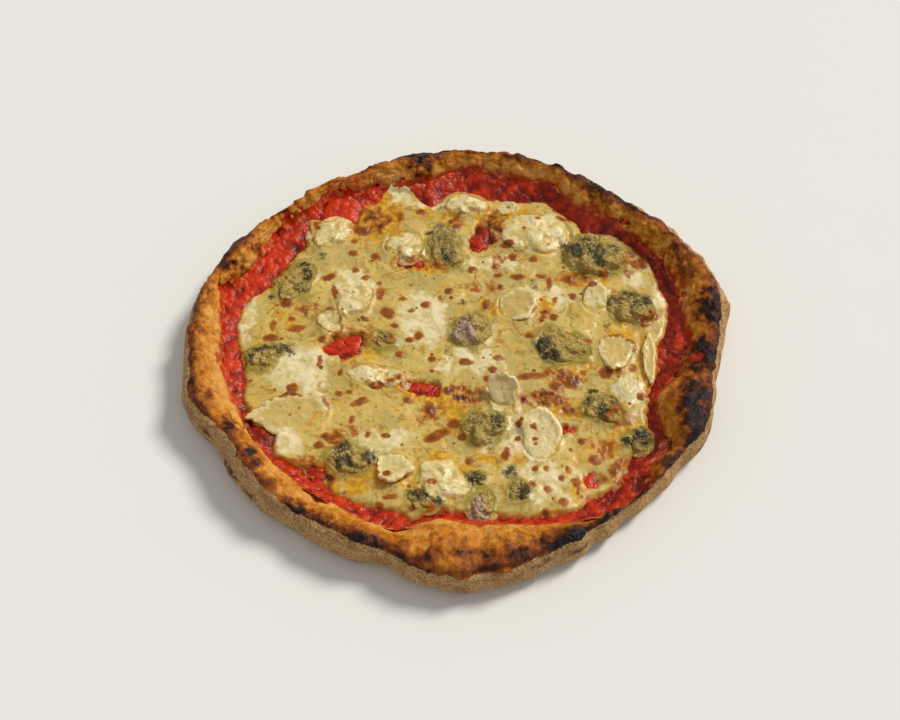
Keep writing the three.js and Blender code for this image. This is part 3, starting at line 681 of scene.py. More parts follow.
def spline_rows(corners, rows):
    """Points on a smooth curve through the corners: on each stretch a cubic that leaves each corner in the
    direction from the corner before it to the corner after it."""
    place = np.linspace(0, len(corners) - 1, rows)
    start = np.minimum(place.astype(int), len(corners) - 2)
    part = (place - start)[:, None, None]
    before, here = corners[np.maximum(start - 1, 0)], corners[start]
    there, after = corners[start + 1], corners[np.minimum(start + 2, len(corners) - 1)]
    leave, arrive = 0.5 * (there - before), 0.5 * (after - here)
    cubic = (2 * here - 2 * there + leave + arrive) * part ** 3
    square = (3 * there - 3 * here - 2 * leave - arrive) * part ** 2
    return cubic + square + leave * part + here, place


def rim_surface(cols, rows):
    """The rim of the crust, as rows of points from its foot, over its crest, to the sauce: a smooth section
    whose corners change with the direction, swollen away from the rim's heart by blisters and creases."""
    angle = even_turns(cols)
    outer, inner = around(OUTER_RADIUS, OUTER_BULGES, angle), inner_radius(angle)
    line = around(SAUCE_LINE_HEIGHT, SAUCE_LINE_BULGES, angle)
    top, crest = crest_line(angle)
    corners = [(outer - inset, height * crest) for inset, height in RIM_OUTSIDE]
    corners.append((top, crest))
    corners += [(lerp(top, inner, across), lerp(crest, line, down)) for across, down in RIM_INSIDE]
    corners.append((inner, line))
    section, place = spline_rows(np.array([np.stack(corner, -1) for corner in corners]), rows)
    heart = np.stack([lerp(outer, inner, RIM_HEART[0]), RIM_HEART[1] * crest], -1)
    away = section - heart
    away /= np.linalg.norm(away, axis=-1, keepdims=True)
    x, y = section[..., 0] * np.cos(np.radians(angle)), section[..., 0] * np.sin(np.radians(angle))
    swelling = RIM_UNEVENNESS * swell(2.3 * x, 2.3 * y)
    for blister_x, blister_y, spread, rise in BLISTERS:
        swelling = swelling + rise * np.exp(-((x - blister_x) ** 2 + (y - blister_y) ** 2) / spread ** 2)
    for at, span, depth in CREASES:
        swelling = swelling - depth * bell(angle, at, span)
    held = (ease(place, 0.3, 1.2) * ease(place, 8, 7.2))[:, None]
    section = section + away * (held * swelling)[..., None]
    return polar(section[..., 0], angle, section[..., 1]), angle, place


def crust_points(settings):
    """The whole crust: the rim with its relief, a flat underside and a flat base under the sauce. Relief is
    broad waves, puffed folds where noise passes through zero, blisters of two sizes on the upper side,
    wrinkles along the inner lip, and grain."""
    rim, angle, place = rim_surface(settings.turns, settings.rows)
    upper = (ease(place, 2.6, 4.2) * ease(place, 8, 7.4))[:, None]
    held = (ease(place, 0, 0.8) * ease(place, 8, 6.8))[:, None]
    folds = np.abs(noise(shifted(rim, 10, 10, 2.5), 13, 17, 2))
    waves = 0.7 * noise(rim, 20, 11, 2) + 2.2 * np.minimum(folds, 0.35) * upper - 0.3
    large, _ = crumbs(shifted(rim, 6, 12, 1.5), 9.5, 13)
    small, _ = crumbs(shifted(rim, 3, 14, 0.8), 4.6, 18)
    patchy = ease(noise(rim, 24, 19), -0.25, 0.3)
    blisters = 1.2 * ease(large, 0.62, 0.05) * patchy
    blisters = blisters + 0.55 * ease(small, 0.6, 0.1) * (1 - 0.6 * patchy)
    lip = (ease(place, 5.4, 6.4) * ease(place, 8, 7.2))[:, None]
    drawn_out = polar(12, angle, 0) + stacked(0, 0, (place * 2.3)[:, None])
    wrinkles = -np.abs(noise(drawn_out, 1, 15, 2)) * lip
    grain = noise(rim, 2.4, 16, 2) * (0.6 + 0.4 * upper + 1.6 * burn_marks(rim))
    relief = waves * settings.waviness + blisters * upper * settings.blister + wrinkles * settings.wrinkle
    rim = raised(rim, held * ((relief + grain * settings.grain) / MM - 0.2))
    toe = rim[-1:] * FLAT * (1 - TOE_RUN / INNER_RADIUS) + [0, 0, BASE_THICKNESS]
    foot = rim[:1] * FLAT
    middle = [0, 0, BASE_THICKNESS]
    under = [foot * part for part in (0, 0.35, 0.7, 0.9, 0.97)]
    over = [toe, 0.6 * toe + 0.4 * np.array(middle), 0 * toe + middle]
    points = np.concatenate([*under, rim, *over])
    return points, np.pad(place, (len(under), len(over)), "edge")[:, None], angle


def burn_marks(points):
    """How burnt the rim is: each burn fades out from its middle to past its outline in a straight line."""
    return strongest(shifted(points, 6, 21, 2.2), BURNS, lambda out: np.clip(1.15 - 0.72 * out, 0, 1))


def crust_values(points, place, angle):
    """How far each place is baked, from 0 to 1, with painted light on the inside towards 45° where it is made
    paler, how floury it is, and where it has streaks and stains.
    """
    broad, middling, fine = noise(points, 12, 31, 2), noise(points, 4.6, 32, 2), noise(points, 1.9, 33)
    burns = burn_marks(points) * ease(place, 3.4, 4.3)
    edge = around(FLOUR_LINE, FLOUR_BULGES, angle) + 0.3 * noise(points * [1, 1, 0.3], 14, 34, 2)
    edge = edge + 0.12 * middling
    flour = ease(place, edge + 0.35, edge - 0.35) * ease(burns + 0.4 * middling, 0.75, 0.3)
    crest = around(0, BROWNER_CREST, angle) * ease(place, 6.2, 4.9)
    # Painted light: paler inside towards 45°, where the slope is in shade.
    inside = around(0, INSIDE_BROWNING_AND_PAINTED_LIGHT, angle) * ease(place, 5, 6.2)
    rim_line = 0.1 * np.exp(-((place - edge - 0.35) / 0.3) ** 2) * ease(broad, -0.5, 0.3)
    baked = np.interp(place, *zip(*BAKED_ACROSS)) + crest + inside + rim_line
    baked = baked + 0.13 * broad + 0.14 * middling + 0.09 * fine
    baked = baked + burns * (0.6 + 0.5 * middling + 0.2 * fine)
    side = np.zeros(points.shape[:2])
    for at, height, wide, tall, dark in SIDE_BURNS:
        off = ((((angle - at + 180) % 360) - 180) / wide) ** 2 + ((points[..., 2] - height) / tall) ** 2
        side = np.maximum(side, dark * np.exp(-off * 1.4 - 1.2 * middling))
    stain = ease(place + 0.5 * broad + 0.5 * middling, 6.9, 7.9)
    marked = patches(shifted(points, 5, 35, 2), RIM_STAINS, 0.6, 1.2) * ease(place, 4.8, 5.5)
    return {"baked": baked, "flour": flour, "streak": side, "stain": np.maximum(stain, marked)}


# ---- sauce and melted cheese ----

def sauce_points(settings):
    """The sauce: flat under the cheese, proud in the cheese's openings, and climbing the rim, where its lumps
    run out over the lip in some places and stop short of it in others."""
    angle = even_turns(settings.turns)
    inner, shore = inner_radius(angle), cheese_radius(angle)
    radius = (inner + SAUCE_OVERRUN) * np.linspace(1, 0, settings.rows)[:, None] ** 0.75
    flat = polar(radius, angle, SAUCE_TOP)
    height = np.where(radius > shore, ground(radius, angle), SAUCE_TOP)
    outside = ease(radius, shore - 6, shore - 1)
    height = np.maximum(height, SAUCE_TOP + SAUCE_SHORE * outside)
    window = clearance(flat, SAUCE_WINDOWS, WINDOW_TEAR)
    height = np.maximum(height, SAUCE_TOP + 1.6 * ease(window, 3, -2.5))
    shown = np.maximum(outside, ease(window, 3, 0))
    warped = shifted(flat, 4, 41, 1.2)
    near, second = crumbs(warped, 5.2, 42)
    pulp = 0.9 * noise(warped, 6.5, 43, 2) + 0.55 * ease(near, 0.7, 0.2)
    pulp = pulp - 0.4 * ease(second - near, 0.2, 0.02) + 0.3 * noise(flat, 1.7, 44, 2)
    lip = ease(radius, inner - 1.5, inner + SAUCE_OVERRUN) * (1.1 - 0.9 * noise(flat, 5, 45, 2))
    top = lifted(flat, height - SAUCE_TOP + shown * pulp * settings.pulp / MM - lip)
    foot = polar(inner - TOE_RUN, angle, BASE_THICKNESS + SAUCE_GAP)[None]
    points = np.concatenate([*(foot * [part, part, 1] for part in (0, 0.5, 1)), top])
    below = ((3, 0), (0, 0))
    climb = np.clip((radius - shore) / (inner - shore), 0, 1)
    return points, {**sauce_values(points, np.pad(climb, below, "edge"), angle),
                    "thick": np.pad(shown * pulp, below, "edge")}


def sauce_values(points, climb, angle):
    """Where the sauce is darker rather than fresh and bright, partly thick, dark sauce and partly painted
    shade from the rim on its right and far side, and where it is smeared on the rim.
    """
    plan = points * FLAT
    # Painted shade by direction: darker towards the right and far side, where the rim's shadow falls.
    deep_and_shade = around(0.35, DEEP_SAUCE_AND_RIM_SHADE, angle) + 0.5 * noise(plan, 9, 51, 3) - 0.3 * ease(climb, 0.5, 1)
    smear = ease(climb + 0.35 * noise(plan, 5, 52, 2), 0.7, 1.1)
    return {"deep_and_shade": np.clip(deep_and_shade - patches(plan, BRIGHT_SAUCE), 0, 1), "smear": smear}


def cheese_edge(angle):
    """Radius of the melted cheese's edge, with its strands, all blunt at their ends."""
    return cheese_radius(angle) + np.minimum(around(0, STRANDS, angle), STRAND_REACH)


def bearing(plan):
    """Each place's distance and direction from the middle."""
    return np.hypot(plan[..., 0], plan[..., 1]), np.degrees(np.arctan2(plan[..., 1], plan[..., 0]))


def cheese_inside(plan):
    """How many mm each place lies inside the melted cheese's ragged edge, or outside an opening if that is
    nearer."""
    radius, angle = bearing(plan)
    ragged = 1.5 * noise(plan, 8, 61, 2) + 0.8 * noise(plan, 2.8, 62)
    window = clearance(plan, SAUCE_WINDOWS, WINDOW_TEAR)
    inside = cheese_edge(angle) - radius
    return np.minimum(inside + ragged, window + 1.5 * ragged + 1.6 * noise(plan, 4.4, 67, 2) + 1.3)


def granular(plan):
    """Where the cheese has dried to toasted grains, from 0 to 1, and the height of its grains there."""
    amount = patches(shifted(plan, 8, 71, 3), TOASTED) * (1.05 + 1.1 * noise(plan, 5, 73, 3))
    near, _ = crumbs(shifted(plan, 2, 76, 0.5), 2.3, 77)
    return np.clip(amount, 0, 1), ease(near, 0.75, 0.1)


def cheese_height(plan, settings):
    """Height of the melted cheese's top: level, with folds that have flowed, rising to the toppings and, by a
    power of the way in, from just over its underside at its edges."""
    toppings = (BLUE_CHEESE, BLUE_ROUGHNESS), (CURDS, CURD_ROUGHNESS), (SLICES, SLICE_TEAR)
    gap = np.min([clearance(plan, ovals, roughness) for ovals, roughness in toppings], axis=0)
    folds = noise(shifted(plan, 14, 63, 4), 12, 64, 2)
    folds = folds - 0.5 * np.abs(noise(shifted(plan, 7, 68, 2), 7, 65))
    full = CHEESE_TOP + CHEESE_SWELL * swell(plan[..., 0], plan[..., 1]) + folds * settings.flow / MM
    dry, grains = granular(plan)
    spots = patches(shifted(plan, 3, 72, 0.5), BROWN_SPOTS, 0.4, 1.2)
    full = full + 1.3 * np.exp(-np.abs(gap) / 2) + 0.3 * spots + dry * (0.75 * grains - 0.2)
    full = np.maximum(full + 0.12 * noise(plan, 2.2, 66), ground(*bearing(plan)) + 0.5)
    edge_share = np.clip(cheese_inside(plan) / (settings.edge_run / MM), 0, 1)
    return lerp(CHEESE_BOTTOM + THINNEST, full, 1 - (1 - edge_share) ** 2.2)


def food_values(plan):
    """What the oven did to the cheese at each place, as numbers for the materials."""
    warped = shifted(plan, 8, 71, 3)
    ragged = shifted(shifted(plan, 3, 72, 0.7), 1.4, 78, 0.35)
    spots = {0.3 + 0.5 * dark: ovals for dark, ovals in BROWN_SPOTS.items()}
    spots = strongest(ragged, spots, lambda out: np.clip(2.0 - 1.3 * out, 0, 1))
    mottled = noise(plan, 5, 73, 3)
    mould = patches(shifted(plan, 4, 80, 1.5), MOULD)
    dry, grains = granular(plan)
    return {
        "toast": np.maximum(spots, dry * (0.55 + 0.45 * mottled + 0.3 * (1 - grains))),
        "oil": np.clip(patches(warped, OILY) * (0.9 + 1.3 * noise(plan, 6, 74, 3)), 0, 1),
        "milk": np.clip(patches(warped, MILKY) * (0.8 + 0.6 * noise(plan, 9, 75, 2)), 0, 1),
        "mould": mould * np.clip(1 + 0.9 * noise(plan, 3, 89, 2), 0.3, 1.3),
        "stain": ease(clearance(warped, BLUE_CHEESE, BLUE_ROUGHNESS) + 3.5 * mottled, 6, -1),
        "thin": ease(cheese_inside(plan) + 2.2 * mottled, 4.5, 0.3),
    }


def cheese_points(settings):
    """The melted cheese: a closed sheet, its underside flat, its top a height over the plan."""
    angle = even_turns(settings.turns)
    edge = cheese_edge(angle) + 1.2
    plan = polar(edge * np.linspace(1, 0, settings.rows)[:, None] ** 0.8, angle, 0.0)
    foot = polar(edge, angle, CHEESE_BOTTOM)[None]
    under = [foot * [part, part, 1] for part in (0, 0.5, 0.85, 1)]
    return np.concatenate([*under, lifted(plan, cheese_height(plan, settings))])


# ---- toppings ----

def lump_points(spec, roughness, cols, rows, flare):
    """A half-melted lump: an uneven oval whose radius shrinks and height grows as the cosine and sine of a
    climb, with crumbs that come and go with the turn. Its foot flares out under the cheese."""
    x, y, long, wide, turn, top = spec
    around_it = np.radians(even_turns(cols))
    radius = oval_radius(around_it, long, wide, x, y, roughness)
    climb = np.linspace(0, 0.5 * np.pi, rows)[:, None]
    crumb = 0.6 * roughness * np.sin(4 * around_it + 5 * climb + y) * np.sin(2 * climb)
    out = radius * (np.cos(climb) ** 0.8 + crumb) + flare * (1 - np.sin(climb)) ** 4
    height = lerp(CHEESE_TOP - 0.9, top - 0.4, np.sin(climb) + 1.6 * crumb * np.sin(climb))
    dome = polar(out, np.degrees(around_it) + turn, height) + [x, y, 0]
    dome[-1] = dome[-1].mean(axis=0)
    foot = polar(radius + flare, np.degrees(around_it) + turn, TOPPING_BOTTOM)[None] + [x, y, 0]
    under = np.broadcast_to([x, y, TOPPING_BOTTOM], foot.shape)
    return np.concatenate([under, 0.5 * (under + foot), foot, dome])


def slice_points(spec, look, cols, rows):
    """A leaning slice: a torn oval, narrower at one end, flat below, dipping inside its rim above, with an
    edge that curls up towards one direction. Rim and dip are powers of the cosine and sine of a climb."""
    x, y, long, wide, turn, point, thick, level, lean, pitch = spec
    facing, curl = look[:2]
    degrees = even_turns(cols)
    around_it = np.radians(degrees)
    climb = np.linspace(-0.5 * np.pi, 0.5 * np.pi, rows)[:, None]
    climb = climb * 0.35 + 0.65 * np.pi / 2 * np.sin(climb) ** 3
    outline = polar(0.25 * (long + wide), degrees, 0) + [x, y, 0]
    reach = 0.5 * tear(around_it, x, y, SLICE_TEAR) * (1 + 0.16 * noise(outline, 7, 97, 2))
    narrow = 1 - point * np.maximum(0, -np.cos(around_it))
    spread = np.cos(climb) ** 0.5
    along = long * reach * np.cos(around_it) * spread
    aside = wide * reach * narrow * np.sin(around_it) * spread
    marked = ease(np.cos(np.radians(degrees + turn - facing)), 0.1, 0.75)
    depth = 0.5 * thick * np.sign(climb) * np.abs(np.sin(climb)) ** 0.8
    dip = 0.22 * thick * (1 - spread ** 2) * (climb > 0)
    flat = stacked(along, aside, depth - dip + 1.3 * curl * marked * ease(spread, 0.55, 0.95))
    pitched, turned, leant = (np.array(Matrix.Rotation(math.radians(angle), 3, axis))
                              for angle, axis in ((pitch, "X"), (turn, "Z"), (-lean, "Y")))
    return flat @ (pitched @ turned @ leant).T + [x, y, level], spread * np.ones(cols), marked


def topping_values(points, cheese, depth):
    """The cheese's values at a topping's places, and where it melts into the cheese, up to that depth."""
    values = food_values(points * FLAT)
    above = points[..., 2] - cheese_height(points * FLAT, cheese)
    values["feather"] = ease(above + 0.35 * depth * noise(points, 3, 79, 2), depth, 0.05)
    return values


# ---- materials ----

def opaque(tone):
    """A colour, or the web colour of that code, with full alpha."""
    return (*(rgb(tone) if isinstance(tone, str) else tuple(tone)[:3]), 1.0)


class Recipe:
    """Builds a node tree a step at a time. Each step returns its output. Sizes are in mm."""

    def __init__(self, tree):
        """Starts on an empty tree."""
        self.tree = tree
        self.tree.nodes.clear()

    def fill(self, node, inputs):
        """A node's outputs, once its inputs have their values or sockets, by name or number."""
        for key, value in inputs.items():
            socket = node.inputs[key]
            if isinstance(value, bpy.types.NodeSocket):
                self.tree.links.new(value, socket)
            else:
                socket.default_value = opaque(value) if socket.type == "RGBA" else value
        return node.outputs

    def add(self, kind, inputs, out=0, **settings):
        """A node of that kind, with its inputs and settings."""
        node = self.tree.nodes.new(kind)
        for key, value in settings.items():
            setattr(node, key, value)
        return self.fill(node, inputs)[out]

    def scattered(self, kind, size, out, **inputs):
        """A pattern of that size on the object's own places."""
        place = self.add("ShaderNodeTexCoord", {}, "Object")
        return self.add(kind, {"Vector": place, "Scale": 1 / (size * MM), **inputs}, out)

    def value(self, name):
        """A named number that the mesh holds."""
        return self.add("ShaderNodeAttribute", {}, "Fac", attribute_name=name)

    def noise(self, size, detail=2.0, warp=0.0):
        """Noise of that size, from 0 to 1."""
        return self.scattered("ShaderNodeTexNoise", size, "Fac", Detail=detail, Distortion=warp)

    def cells(self, size, out="Distance"):
        """Scattered cells of that size: the distance from their middles, or their random colour."""
        return self.scattered("ShaderNodeTexVoronoi", size, out)

    def math(self, operation, a, b=0.0):
        """A sum, product or other reckoning of two numbers."""
        return self.add("ShaderNodeMath", {0: a, 1: b}, operation=operation)

    def times(self, a, b):
        """Two numbers multiplied."""
        return self.math("MULTIPLY", a, b)

    def plus(self, value, size, amount, detail=2.0):
        """A value with noise of that size added, by up to half the amount either way."""
        centred = self.math("SUBTRACT", self.noise(size, detail), 0.5)
        return self.math("ADD", value, self.times(centred, amount))

    def ranged(self, value, low, high, to_low, to_high):
        """A value moved from one range to another, in a straight line."""
        inputs = {"Value": value, "From Min": low, "From Max": high, "To Min": to_low, "To Max": to_high}
        return self.add("ShaderNodeMapRange", inputs, "Result")

    def mask(self, value, low, high):
        """0 below low and 1 above high, smooth between. low may be the higher of the two."""
        inputs = {"Value": value, "From Min": low, "From Max": high}
        return self.add("ShaderNodeMapRange", inputs, "Result", interpolation_type="SMOOTHSTEP")

    def patch(self, size, detail, low, high, warp=0.0):
        """Where noise of that size rises from low to high."""
        return self.mask(self.noise(size, detail, warp), low, high)

    def ragged(self, name, size, amount, detail, low, high):
        """Where a number of the mesh rises from low to high, with noise of that size and amount on it."""
        return self.mask(self.plus(self.value(name), size, amount, detail), low, high)

    def mix(self, part, a, b, amount=1.0):
        """Colour a, and b on it by that part, at most by the amount."""
        if amount < 1:
            part = self.times(part, amount)
        return self.add("ShaderNodeMix", {"Factor": part, 6: a, 7: b}, 2, data_type="RGBA")

    def ramp(self, value, stops):
        """A colour for each value, blended between stops of place and colour."""
        node = self.tree.nodes.new("ShaderNodeValToRGB")
        elements = node.color_ramp.elements
        while len(elements) < len(stops):
            elements.new(0.5)
        for element, (place, tone) in zip(elements, stops):
            element.position, element.color = place, opaque(tone)
        return self.fill(node, {"Fac": value})["Color"]

    def freckles(self, size, biggest):
        """Round dots of random sizes, one in each cell of that size, up to that share of the cell."""
        sort = self.add("ShaderNodeSeparateColor", {0: self.cells(size, "Color")})
        reach = self.ranged(sort, 0.4, 1, 0.0, biggest)
        return self.mask(self.math("SUBTRACT", reach, self.plus(self.cells(size), 1.2, 0.12)), -0.03, 0.1)

    def group(self, tree, inputs):
        """The outputs of a node group."""
        node = self.tree.nodes.new("ShaderNodeGroup")
        node.node_tree = tree
        return self.fill(node, inputs)

    def grain(self, coarse):
        """The height of a food's fine grain, with its coarser part by that much."""
        return self.group(grain_group(), {"Coarse": coarse})["Height"]

    def wet(self, size, detail, low, high):
        """A roughness that wanders between two values with noise of that size."""
        return self.ranged(self.noise(size, detail), 0.3, 0.7, low, high)

    def food(self, tone, roughness, height, depth, gloss, weight, reach, spread):
        """A food's shader: its height stands for that depth, and light goes into it by that weight and reach,
        spread between red, green and blue."""
        normal = self.add("ShaderNodeBump", {"Height": height, "Distance": depth * MM}, "Normal")
        self.finish({"Base Color": tone, "Roughness": roughness, "Normal": normal,
                     "Specular IOR Level": gloss, "Subsurface Weight": weight,
                     "Subsurface Scale": reach * MM, "Subsurface Radius": spread})

    def finish(self, inputs):
        """The shader and the material's output."""
        surface = self.add("ShaderNodeBsdfPrincipled", inputs)
        self.fill(self.tree.nodes.new("ShaderNodeOutputMaterial"), {"Surface": surface})


def group_tree(name, inputs, outputs, fill):
    """The node group of that name, made once: its sockets as names and kinds, and what fills its tree."""
    if name not in bpy.data.node_groups:
        tree = bpy.data.node_groups.new(name, "ShaderNodeTree")
        for way, sockets in (("INPUT", inputs), ("OUTPUT", outputs)):
            for label, kind in sockets.items():
                tree.interface.new_socket(label, in_out=way, socket_type=f"NodeSocket{kind}")
        recipe = Recipe(tree)
        given = tree.nodes.new("NodeGroupInput").outputs
        recipe.fill(tree.nodes.new("NodeGroupOutput"), fill(recipe, given))
    return bpy.data.node_groups[name]


def browning(r, given):
    """Browns a cheese: a golden halo, then orange-brown, then dark, with small freckles between the spots."""
    colour, toasted, burnt = given["Colour"], given["Toasted"], given["Burnt"]
    toast = r.plus(r.plus(given["Toast"], 3.5, 0.7, 2), 1.3, 0.35, 3)
    dots = r.times(r.freckles(4.6, 0.33), given["Freckles"])
    brown = r.math("MAXIMUM", toast, r.times(dots, r.ranged(r.noise(9), 0.4, 0.6, 0.1, 0.75)))
    tone = r.mix(r.mask(brown, 0.1, 0.28), colour, r.mix(0.5, colour, toasted))
    tone = r.mix(r.mask(brown, 0.26, 0.46), tone, toasted)
    tone = r.mix(r.mask(brown, 0.5, 0.72), tone, r.mix(0.5, toasted, burnt))
    tone = r.mix(r.mask(brown, 0.74, 1.0), tone, burnt)
    return {"Colour": tone, "Browned": r.mask(brown, 0.2, 0.6)}


def browned(r, tone, cheese, freckles):
    """A cheese's tone once the oven has browned it, and where it is browned."""
    inputs = {"Colour": "Color", "Toast": "Float", "Freckles": "Float", "Toasted": "Color", "Burnt": "Color"}
    tree = group_tree("Browning", inputs, {"Colour": "Color", "Browned": "Float"}, browning)
    given = {"Colour": tone, "Toast": r.value("toast"), "Freckles": freckles, "Toasted": cheese.toasted,
             "Burnt": cheese.burnt}
    return r.group(tree, given)


def grain_group():
    """Fine relief of food: two sizes of noise, as one height."""
    def fill(r, given):
        coarse = r.times(r.noise(2.4, 3), given["Coarse"])
        return {"Height": r.math("ADD", coarse, r.times(r.noise(0.7, 2), 0.35))}
    return group_tree("Food grain", {"Coarse": "Float"}, {"Height": "Float"}, fill)


def new_material(name):
    """A new material with its recipe."""
    material = bpy.data.materials.new(name)
    material.use_nodes = True
    return material, Recipe(material.node_tree)


def crust_material(settings):
    """Baked dough: a ramp of browns read by the baking, with flour, streaks, char and stains of sauce."""
    material, r = new_material("Baked dough")
    baked = r.plus(r.plus(r.value("baked"), 2.0, 0.34, 4), 0.8, 0.16)
    dots = r.times(r.mask(r.cells(1.5), 0.34, 0.14), r.patch(7, 2, 0.42, 0.6))
    blotches = r.times(r.freckles(5.5, 0.42), r.ranged(r.noise(12), 0.4, 0.6, 0.2, 1))
    baked = r.math("ADD", baked, r.times(r.math("ADD", dots, blotches), 0.17))
    tone = r.ramp(baked, [(0.05, settings.pale), (0.26, settings.golden), (0.48, settings.brown),
                          (0.7, settings.dark), (0.9, settings.char)])
    tone = r.mix(r.patch(5, 3, 0.52, 0.7, 0.5), tone, "A04A14", 0.28)
    tone = r.mix(r.times(r.value("stain"), r.ragged("stain", 2.6, 1.6, 3, 0.1, 0.8)), tone, "B42C10", 0.85)
    dusty = r.mix(r.patch(1.3, 4, 0.36, 0.64), settings.flour, "957048")
    dusty = r.mix(r.patch(0.6, 2, 0.5, 0.72), dusty, "E2CDA8", 0.8)
    dusty = r.mix(r.patch(9, 3, 0.5, 0.68), dusty, "8C6236", 0.5)
    dusty = r.mix(r.ragged("streak", 2.2, 0.5, 3, 0.1, 0.8), dusty, "4A2812", 0.85)
    tone = r.mix(r.ragged("flour", 1.2, 0.7, 3, 0.35, 0.65), tone, dusty)
    tone = r.mix(r.times(r.mask(baked, 0.9, 1.05), r.patch(1.1, 3, 0.55, 0.72)), tone, "5E6064", 0.6)
    roughness = r.ranged(r.math("ADD", r.value("flour"), r.noise(2, 2)), 0.3, 1.4, 0.4, 0.9)
    height = r.math("SUBTRACT", r.grain(0.9), r.times(dots, 0.2))
    r.food(tone, roughness, height, 1.0, 0.2, 0.05, 3, (1.0, 0.2, 0.1))
    return material


def sauce_material(settings):
    """Tomato sauce: wet reds, darker where it is thick and where painted shade from the rim falls, with
    orange pulp, painted shade in the hollows of the pulp and pale smears.
    """
    material, r = new_material("Tomato sauce")
    # Bright to dark red: thick, dark sauce, and painted shade from the rim on the right and far side.
    tone = r.mix(r.plus(r.value("deep_and_shade"), 3.4, 0.8, 3), settings.bright, settings.deep_and_shade)
    tone = r.mix(r.ragged("thick", 2, 0.8, 3, 0.2, 0.9), tone, "DA4A14", 0.5)
    # Painted shade: dark red in the hollows between the bits of pulp.
    tone = r.mix(r.ragged("thick", 1.6, 0.6, 3, 0.0, -0.7), tone, "520602", 0.75)
    tone = r.mix(r.ragged("smear", 2.6, 1.1, 4, 0.75, 1.15), tone, "DE9460", 0.7)
    tone = r.mix(r.patch(1.3, 3, 0.63, 0.72, 0.8), tone, "E2693C", 0.55)
    r.food(tone, r.wet(2, 2, 0.1, 0.36), r.grain(1.1), 0.6, 0.26, 0.1, 3, (1.0, 0.15, 0.08))
    return material


def mouldy(r, tone, settings, size=1.3, speckle=1.2):
    """A tone with green-grey veins and dark specks of mould."""
    amount = r.plus(r.plus(r.value("mould"), 4, 0.4, 3), size, speckle, 3)
    tone = r.mix(r.mask(amount, 0.16, 0.52), tone, settings.vein, 0.85)
    return r.mix(r.mask(amount, 0.5, 0.76), tone, settings.mould, 0.9)


def cheese_tone(r, settings, blue):
    """Melted cheese: plain, with seams, milk, oil, stains, and sauce showing through thin places."""
    tone = r.mix(r.patch(16, 3, 0.42, 0.6), settings.fresh, "C4B06A")
    tone = r.mix(r.patch(7, 3, 0.48, 0.64, 0.4), tone, "D8B054", 0.6)
    tone = r.mix(r.patch(2.4, 3, 0.54, 0.65), tone, "B48E34", 0.5)
    tone = r.mix(r.patch(1.5, 3, 0.6, 0.7), tone, "9C8A40", 0.5)
    seam = r.mask(r.math("ABSOLUTE", r.math("SUBTRACT", r.noise(17, 3, 0.8), 0.5)), 0.04, 0.0)
    tone = r.mix(r.times(seam, r.patch(2.6, 3, 0.38, 0.56)), tone, "A87C20", 0.8)
    milk = r.mix(r.patch(6, 3, 0.4, 0.62, 0.6), settings.milk, "DCCE94")
    tone = r.mix(r.ragged("milk", 4, 0.9, 3, 0.16, 0.46), tone, milk, 0.9)
    oil = r.mix(r.patch(2.8, 3, 0.42, 0.6), settings.oil, "E0B026")
    tone = r.mix(r.ragged("oil", 3, 0.7, 4, 0.12, 0.6), tone, oil, 0.92)
    tone = r.mix(r.ragged("stain", 2.4, 1.0, 4, 0.2, 0.9), tone, "9C8C38", 0.8)
    tone = mouldy(r, tone, blue)
    tone = r.mix(r.ragged("thin", 2.2, 1.3, 4, 0.45, 0.9), tone, "C47A2A", 0.7)
    return r.mix(r.ragged("thin", 1.8, 0.8, 3, 0.8, 1.15), tone, "B8400F", 0.75)


def melted_material(settings, blue):
    """Melted cheese: pale, wet and see-through, with brown spots and freckles."""
    material, r = new_material("Melted cheese")
    given = browned(r, cheese_tone(r, settings, blue), settings, 1.0)
    height = r.math("ADD", r.grain(0.6), r.times(given["Browned"], 0.35))
    r.food(given["Colour"], r.wet(5, 3, 0.2, 0.48), height, 0.3, 0.36, 0.2, 4, (1.0, 0.75, 0.4))
    return material


def blue_material(cheese, settings):
    """Blue cheese: pale paste with veins and dark mould in clumps, melting into the cheese at its foot."""
    material, r = new_material("Blue cheese")
    tone = r.mix(r.patch(3, 4, 0.42, 0.6), settings.paste, "9A8432", 0.85)
    tone = r.mix(r.patch(1.4, 3, 0.58, 0.68), tone, settings.vein, 0.8)
    tone = mouldy(r, tone, settings, 0.9, 1.7)
    tone = r.mix(r.ragged("crumb", 1.0, 1.6, 3, 0.66, 1.15), tone, "DACB98", 0.75)
    rind = r.mix(r.patch(1.6, 3, 0.4, 0.6), settings.rind, "C9AC8E")
    tone = r.mix(r.ragged("rind", 2, 0.8, 3, 0.3, 0.7), tone, rind)
    tone = r.mix(r.ragged("feather", 2, 0.9, 3, 0.3, 0.9), tone, cheese_tone(r, cheese, settings))
    tone = browned(r, tone, cheese, 0.6)["Colour"]
    r.food(tone, r.wet(2, 2, 0.3, 0.65), r.grain(1.4), 1.1, 0.35, 0.08, 3, (1.0, 0.8, 0.5))
    return material


